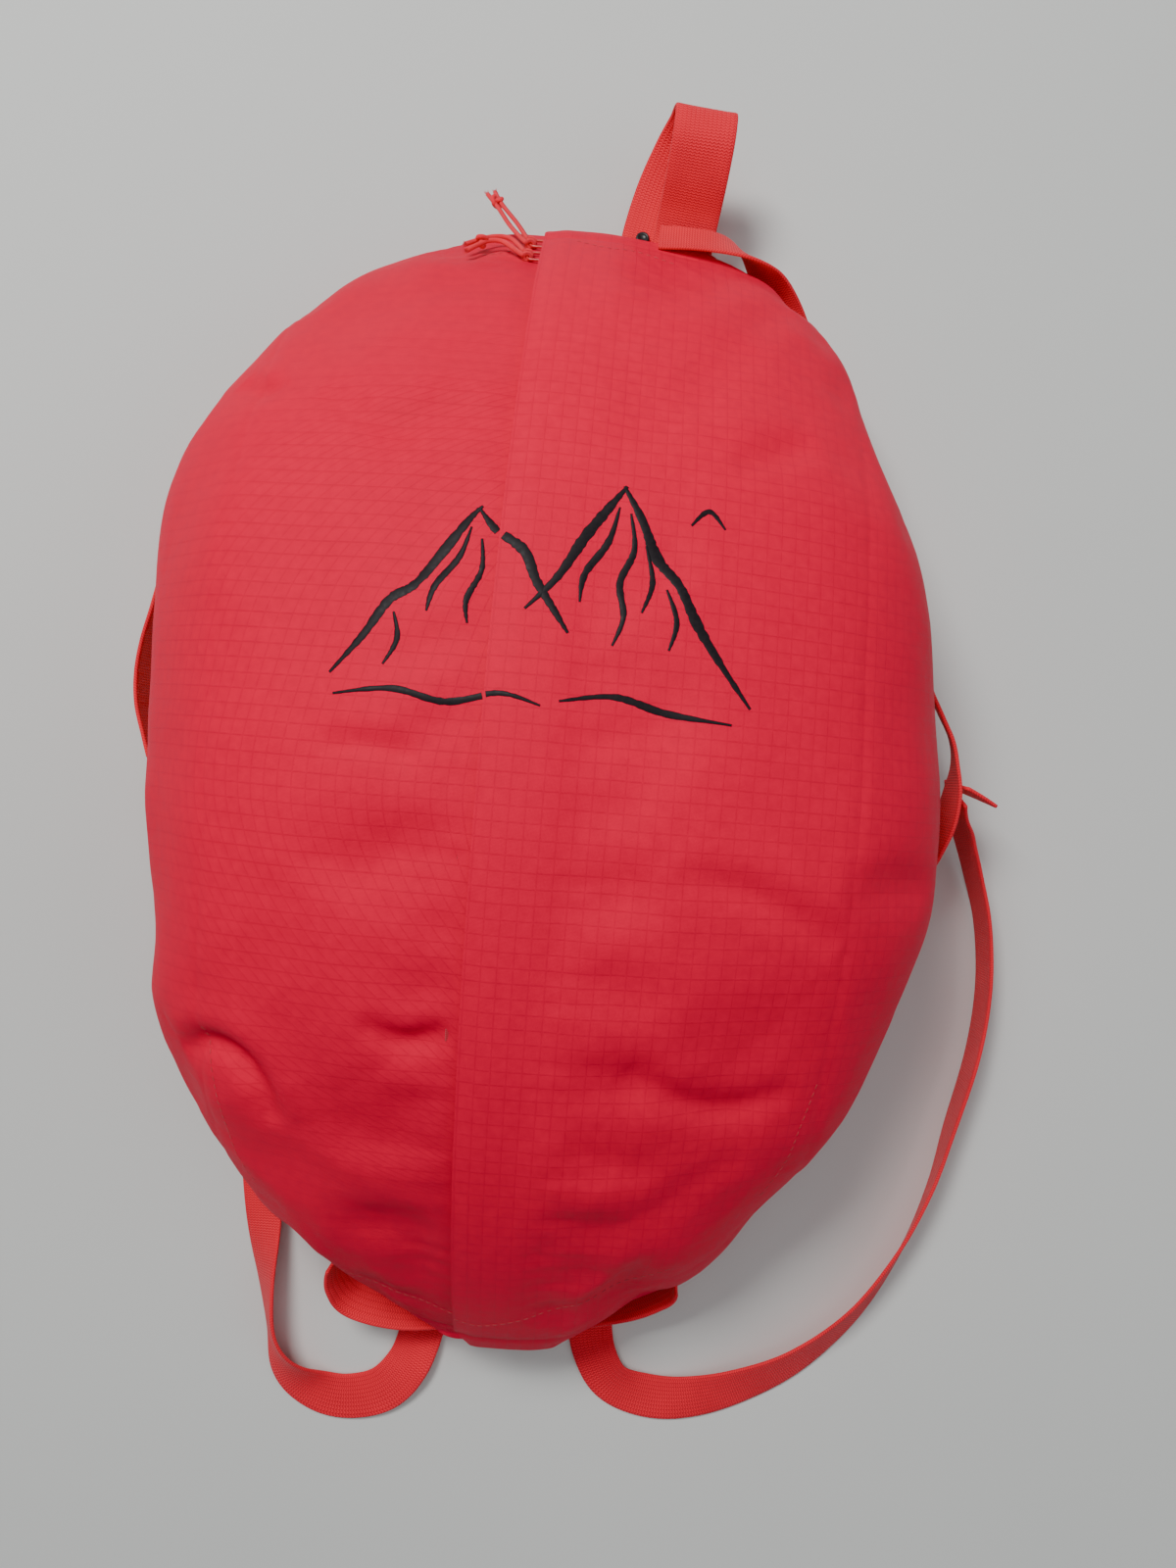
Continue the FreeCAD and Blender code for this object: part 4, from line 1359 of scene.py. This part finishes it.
def make_cords():
    """Doubled pull cords with their knots."""
    rng = random.Random(FRAY_SEED)
    strands = {}
    knots = {}
    for name, (route, length) in STRANDS.items():
        line = smooth_route(route)
        pull = name[:5] + "_pull"
        piece = made(name + "_braid", tube(line, CORD_DIAMETER / 2.0, 12), CORD)
        fit(piece, pull, "pull_cord_weave", name)
        fibres = frayed_end(line[-1], line[-1] - line[-4], rng)
        fit(made(name + "_fray", merged(fibres), CORD), pull, "pull_cord_weave")
        strands[name] = (piece, line, length)
    for name, centre in KNOTS.items():
        line = strands[name + "_cord_a"][1]
        near = min(range(2, len(line) - 2), key=lambda k: (line[k] - Vector(centre)).length)
        along = (line[near + 2] - line[near - 2]).normalized()
        side = along.orthogonal().normalized()
        up = along.cross(side)
        loop = []
        for k in range(60):
            turn = 2 * math.pi * k / 60
            x = math.sin(turn) + 2 * math.sin(2 * turn)
            y = math.cos(turn) - 2 * math.cos(2 * turn)
            z = -math.sin(3 * turn)
            loop.append(Vector(centre) + side * (x * 0.78) + up * (y * 0.78) + along * (z * 1.5))
        pull = name + "_pull"
        knots[name] = made(name + "_knot_braid", tube(loop, 0.92, 10, True), CORD)
        fit(knots[name], pull, "pull_cord_weave", name + "_cord_knot")
        hitch = []
        for along_ring in (1.6, 4.2):
            loop = []
            for k in range(20):
                turn = 2 * math.pi * k / 20
                place = (RING_FAR_X + 1.55 * math.cos(turn), along_ring + 0.25 * math.sin(turn),
                         RING_LEVEL + 1.45 * math.sin(turn))
                loop.append(carried(place, SLIDER_ANGLES[name]))
            hitch.append(tube(loop, 0.9, 10, True))
        fit(made(name + "_hitch_braid", merged(hitch), CORD), pull, "pull_cord_weave")
    for name, (piece, line, length) in strands.items():
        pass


# ---------------------------------------------------------------------------
# The snap at the haul loop's foot
# ---------------------------------------------------------------------------
def make_snap():
    """Moulded snap: domed rim, dished middle."""
    profile = [(0.0, -0.3), (2.4, -0.3), (2.85, 0.1), (3.0, 0.7), (3.0, 1.5), (2.8, 2.1), (2.35, 2.4),
               (1.9, 2.3), (1.55, 1.85), (1.0, 1.65), (0.0, 1.6)]
    axis = Vector((0, 0.2, 1)).normalized()
    side = axis.orthogonal().normalized()
    up = axis.cross(side)
    base = Vector((24.0, 240.4, 22.9))
    sides = 32
    points = []
    for radius, height in profile:
        for s in range(sides):
            turn = 2 * math.pi * s / sides
            around = side * math.cos(turn) + up * math.sin(turn)
            points.append(base + axis * height + around * max(radius, 0.02))
    faces = ring_faces(len(profile), sides)
    snap = made("haul_snap_button", (points, faces, [(0, 0)] * len(points)), PLASTIC)
    fit(snap, "haul_loop", "black_snap_plastic", "haul_snap")


# ---------------------------------------------------------------------------
# What is printed on or sewn through the front
# ---------------------------------------------------------------------------
def front_surface():
    """The cloth's outer surface, ready for rays."""
    bm = bmesh.new()
    for piece in PANELS.values():
        bm.from_mesh(piece.data)
    tree = BVHTree.FromBMesh(bm)
    bm.free()
    return tree


def drop_on(tree, x, y):
    """The place and normal of the cloth straight under (x, y)."""
    hit, normal, _, _ = tree.ray_cast(Vector((x, y, 300.0)) * MM, Vector((0, 0, -1)))
    if hit is None:
        return None, None
    if normal.z < 0:
        normal = -normal
    return hit / MM, normal


# Brush strokes of a plain mountain range: (x, y, half-width) along each stroke
RANGE_STROKES = [
    [(-70, 34, 0.5), (-60, 47, 1.3), (-52, 60, 1.7), (-44, 66, 1.5), (-36, 78, 1.8), (-28, 91, 1.2),
     (-24, 96, 0.5)],
    [(-25, 95, 0.5), (-18, 87, 1.5), (-8, 80, 1.8), (-3, 70, 1.6), (4, 60, 1.2), (9, 53, 0.5)],
    [(-6, 60, 0.5), (4, 72, 1.4), (12, 87, 1.9), (19, 98, 1.6), (25, 107, 0.6)],
    [(24, 107, 0.5), (31, 95, 1.5), (37, 82, 1.9), (45, 73, 1.6), (52, 60, 1.8), (61, 47, 1.3),
     (72, 33, 0.5)],
    [(-27, 88, 0.4), (-30, 77, 1.1), (-37, 66, 1.2), (-39, 57, 0.4)],
    [(-23, 84, 0.4), (-22, 73, 1.0), (-26, 62, 1.0), (-25, 54, 0.4)],
    [(23, 99, 0.4), (20, 86, 1.2), (13, 74, 1.2), (12, 64, 0.4)],
    [(27, 97, 0.4), (29, 84, 1.1), (25, 72, 1.2), (27, 60, 1.0), (24, 50, 0.4)],
    [(33, 86, 0.4), (36, 73, 1.0), (33, 62, 0.4)],
    [(41, 71, 0.4), (45, 60, 1.0), (43, 50, 0.4)],
    [(-50, 56, 0.4), (-48, 47, 1.0), (-52, 38, 0.4)],
    [(-68, 27, 0.4), (-48, 30, 1.1), (-30, 27, 1.2), (-12, 31, 0.9), (2, 28, 0.4)],
    [(8, 30, 0.4), (26, 33, 1.1), (44, 29, 1.2), (66, 27, 0.4)],
    [(48, 95, 0.4), (54, 101, 1.0), (60, 95, 0.4)],
]


def make_print(tree):
    """The printed motif, a thin film on the cloth."""
    points = []
    faces = []
    rng = random.Random(PRINT_SEED)
    for stroke in RANGE_STROKES:
        rows = catmull(stroke, 12)
        spots = []
        for i, row in enumerate(rows):
            ahead = rows[min(i + 1, len(rows) - 1)] - rows[max(i - 1, 0)]
            ahead = ahead[:2] / max(np.hypot(ahead[0], ahead[1]), 1e-6)
            half = row[2] * rng.uniform(0.86, 1.14)
            level = []
            for share, sink in ((-1.0, 0.02), (-0.8, 0.14), (0.0, 0.18), (0.8, 0.14), (1.0, 0.02)):
                place, normal = drop_on(tree, row[0] - ahead[1] * half * share,
                                        row[1] + ahead[0] * half * share)
                level.append(place + normal * sink)
            spots.append(level)
        for i, level in enumerate(spots):
            start = len(points)
            points += level
            if i and max(abs(a.z - b.z) for a, b in zip(level, spots[i - 1])) < 1.7:
                faces += [(start - 5 + k, start - 4 + k, start + 1 + k, start + k) for k in range(4)]
    fit(made("mountain_print", (points, faces), INK), "sack", "screen_print_ink")


# Lines of sewing seen on the front: a hem by the bottom end, one by the top, and the side seams' ends
SEWN_LINES = {
    "bottom_hem_stitches": [(-62, -199), (-42, -207), (-30, -210), (-20, -215), (-8, -218.5), (0, -217),
                            (15, -211), (42, -198), (68, -181)],
    "top_hem_stitches": [(-40, 216), (-24, 221), (-18, 223)],
    "top_right_stitches": [(-2, 225.5), (9.6, 222.4), (22.8, 222.4), (38, 219)],
    "left_seam_stitches": [(-112, -96), (-109, -112), (-106, -130), (-103, -147), (-96, -160)],
    "right_seam_stitches": [(112, -100), (108, -118), (105, -134), (98, -150)],
}


def make_sewing(tree):
    """Lock-stitched lines on the front."""
    for name, route in SEWN_LINES.items():
        rows = catmull(route, 40)
        spots = [(rows[0], rows[1] - rows[0])]
        for before, row in zip(rows, rows[1:]):
            if np.hypot(*(row - spots[-1][0])) > STITCH_SPACING:
                spots.append((row, row - before))
        landed = []
        for row, ahead in spots:
            place, normal = drop_on(tree, row[0], row[1])
            if place is not None and place.z > 8.0:
                ahead = Vector((ahead[0], ahead[1], 0.0)).normalized()
                ahead = (ahead - normal * ahead.dot(normal)).normalized()
                landed.append((place - normal * 0.05, ahead, normal))
        stitches = thread_run(landed.__getitem__, len(landed), 2.3, 0.2)
        fit(made(name, stitches, THREAD), "sack", "ripstop_cloth")


# ---------------------------------------------------------------------------
# Run
# ---------------------------------------------------------------------------
camera()
studio()
PANELS = make_sack()
make_webbing()
make_zip()
make_sliders()
make_cords()
make_snap()
SURFACE = front_surface()
make_print(SURFACE)
make_sewing(SURFACE)
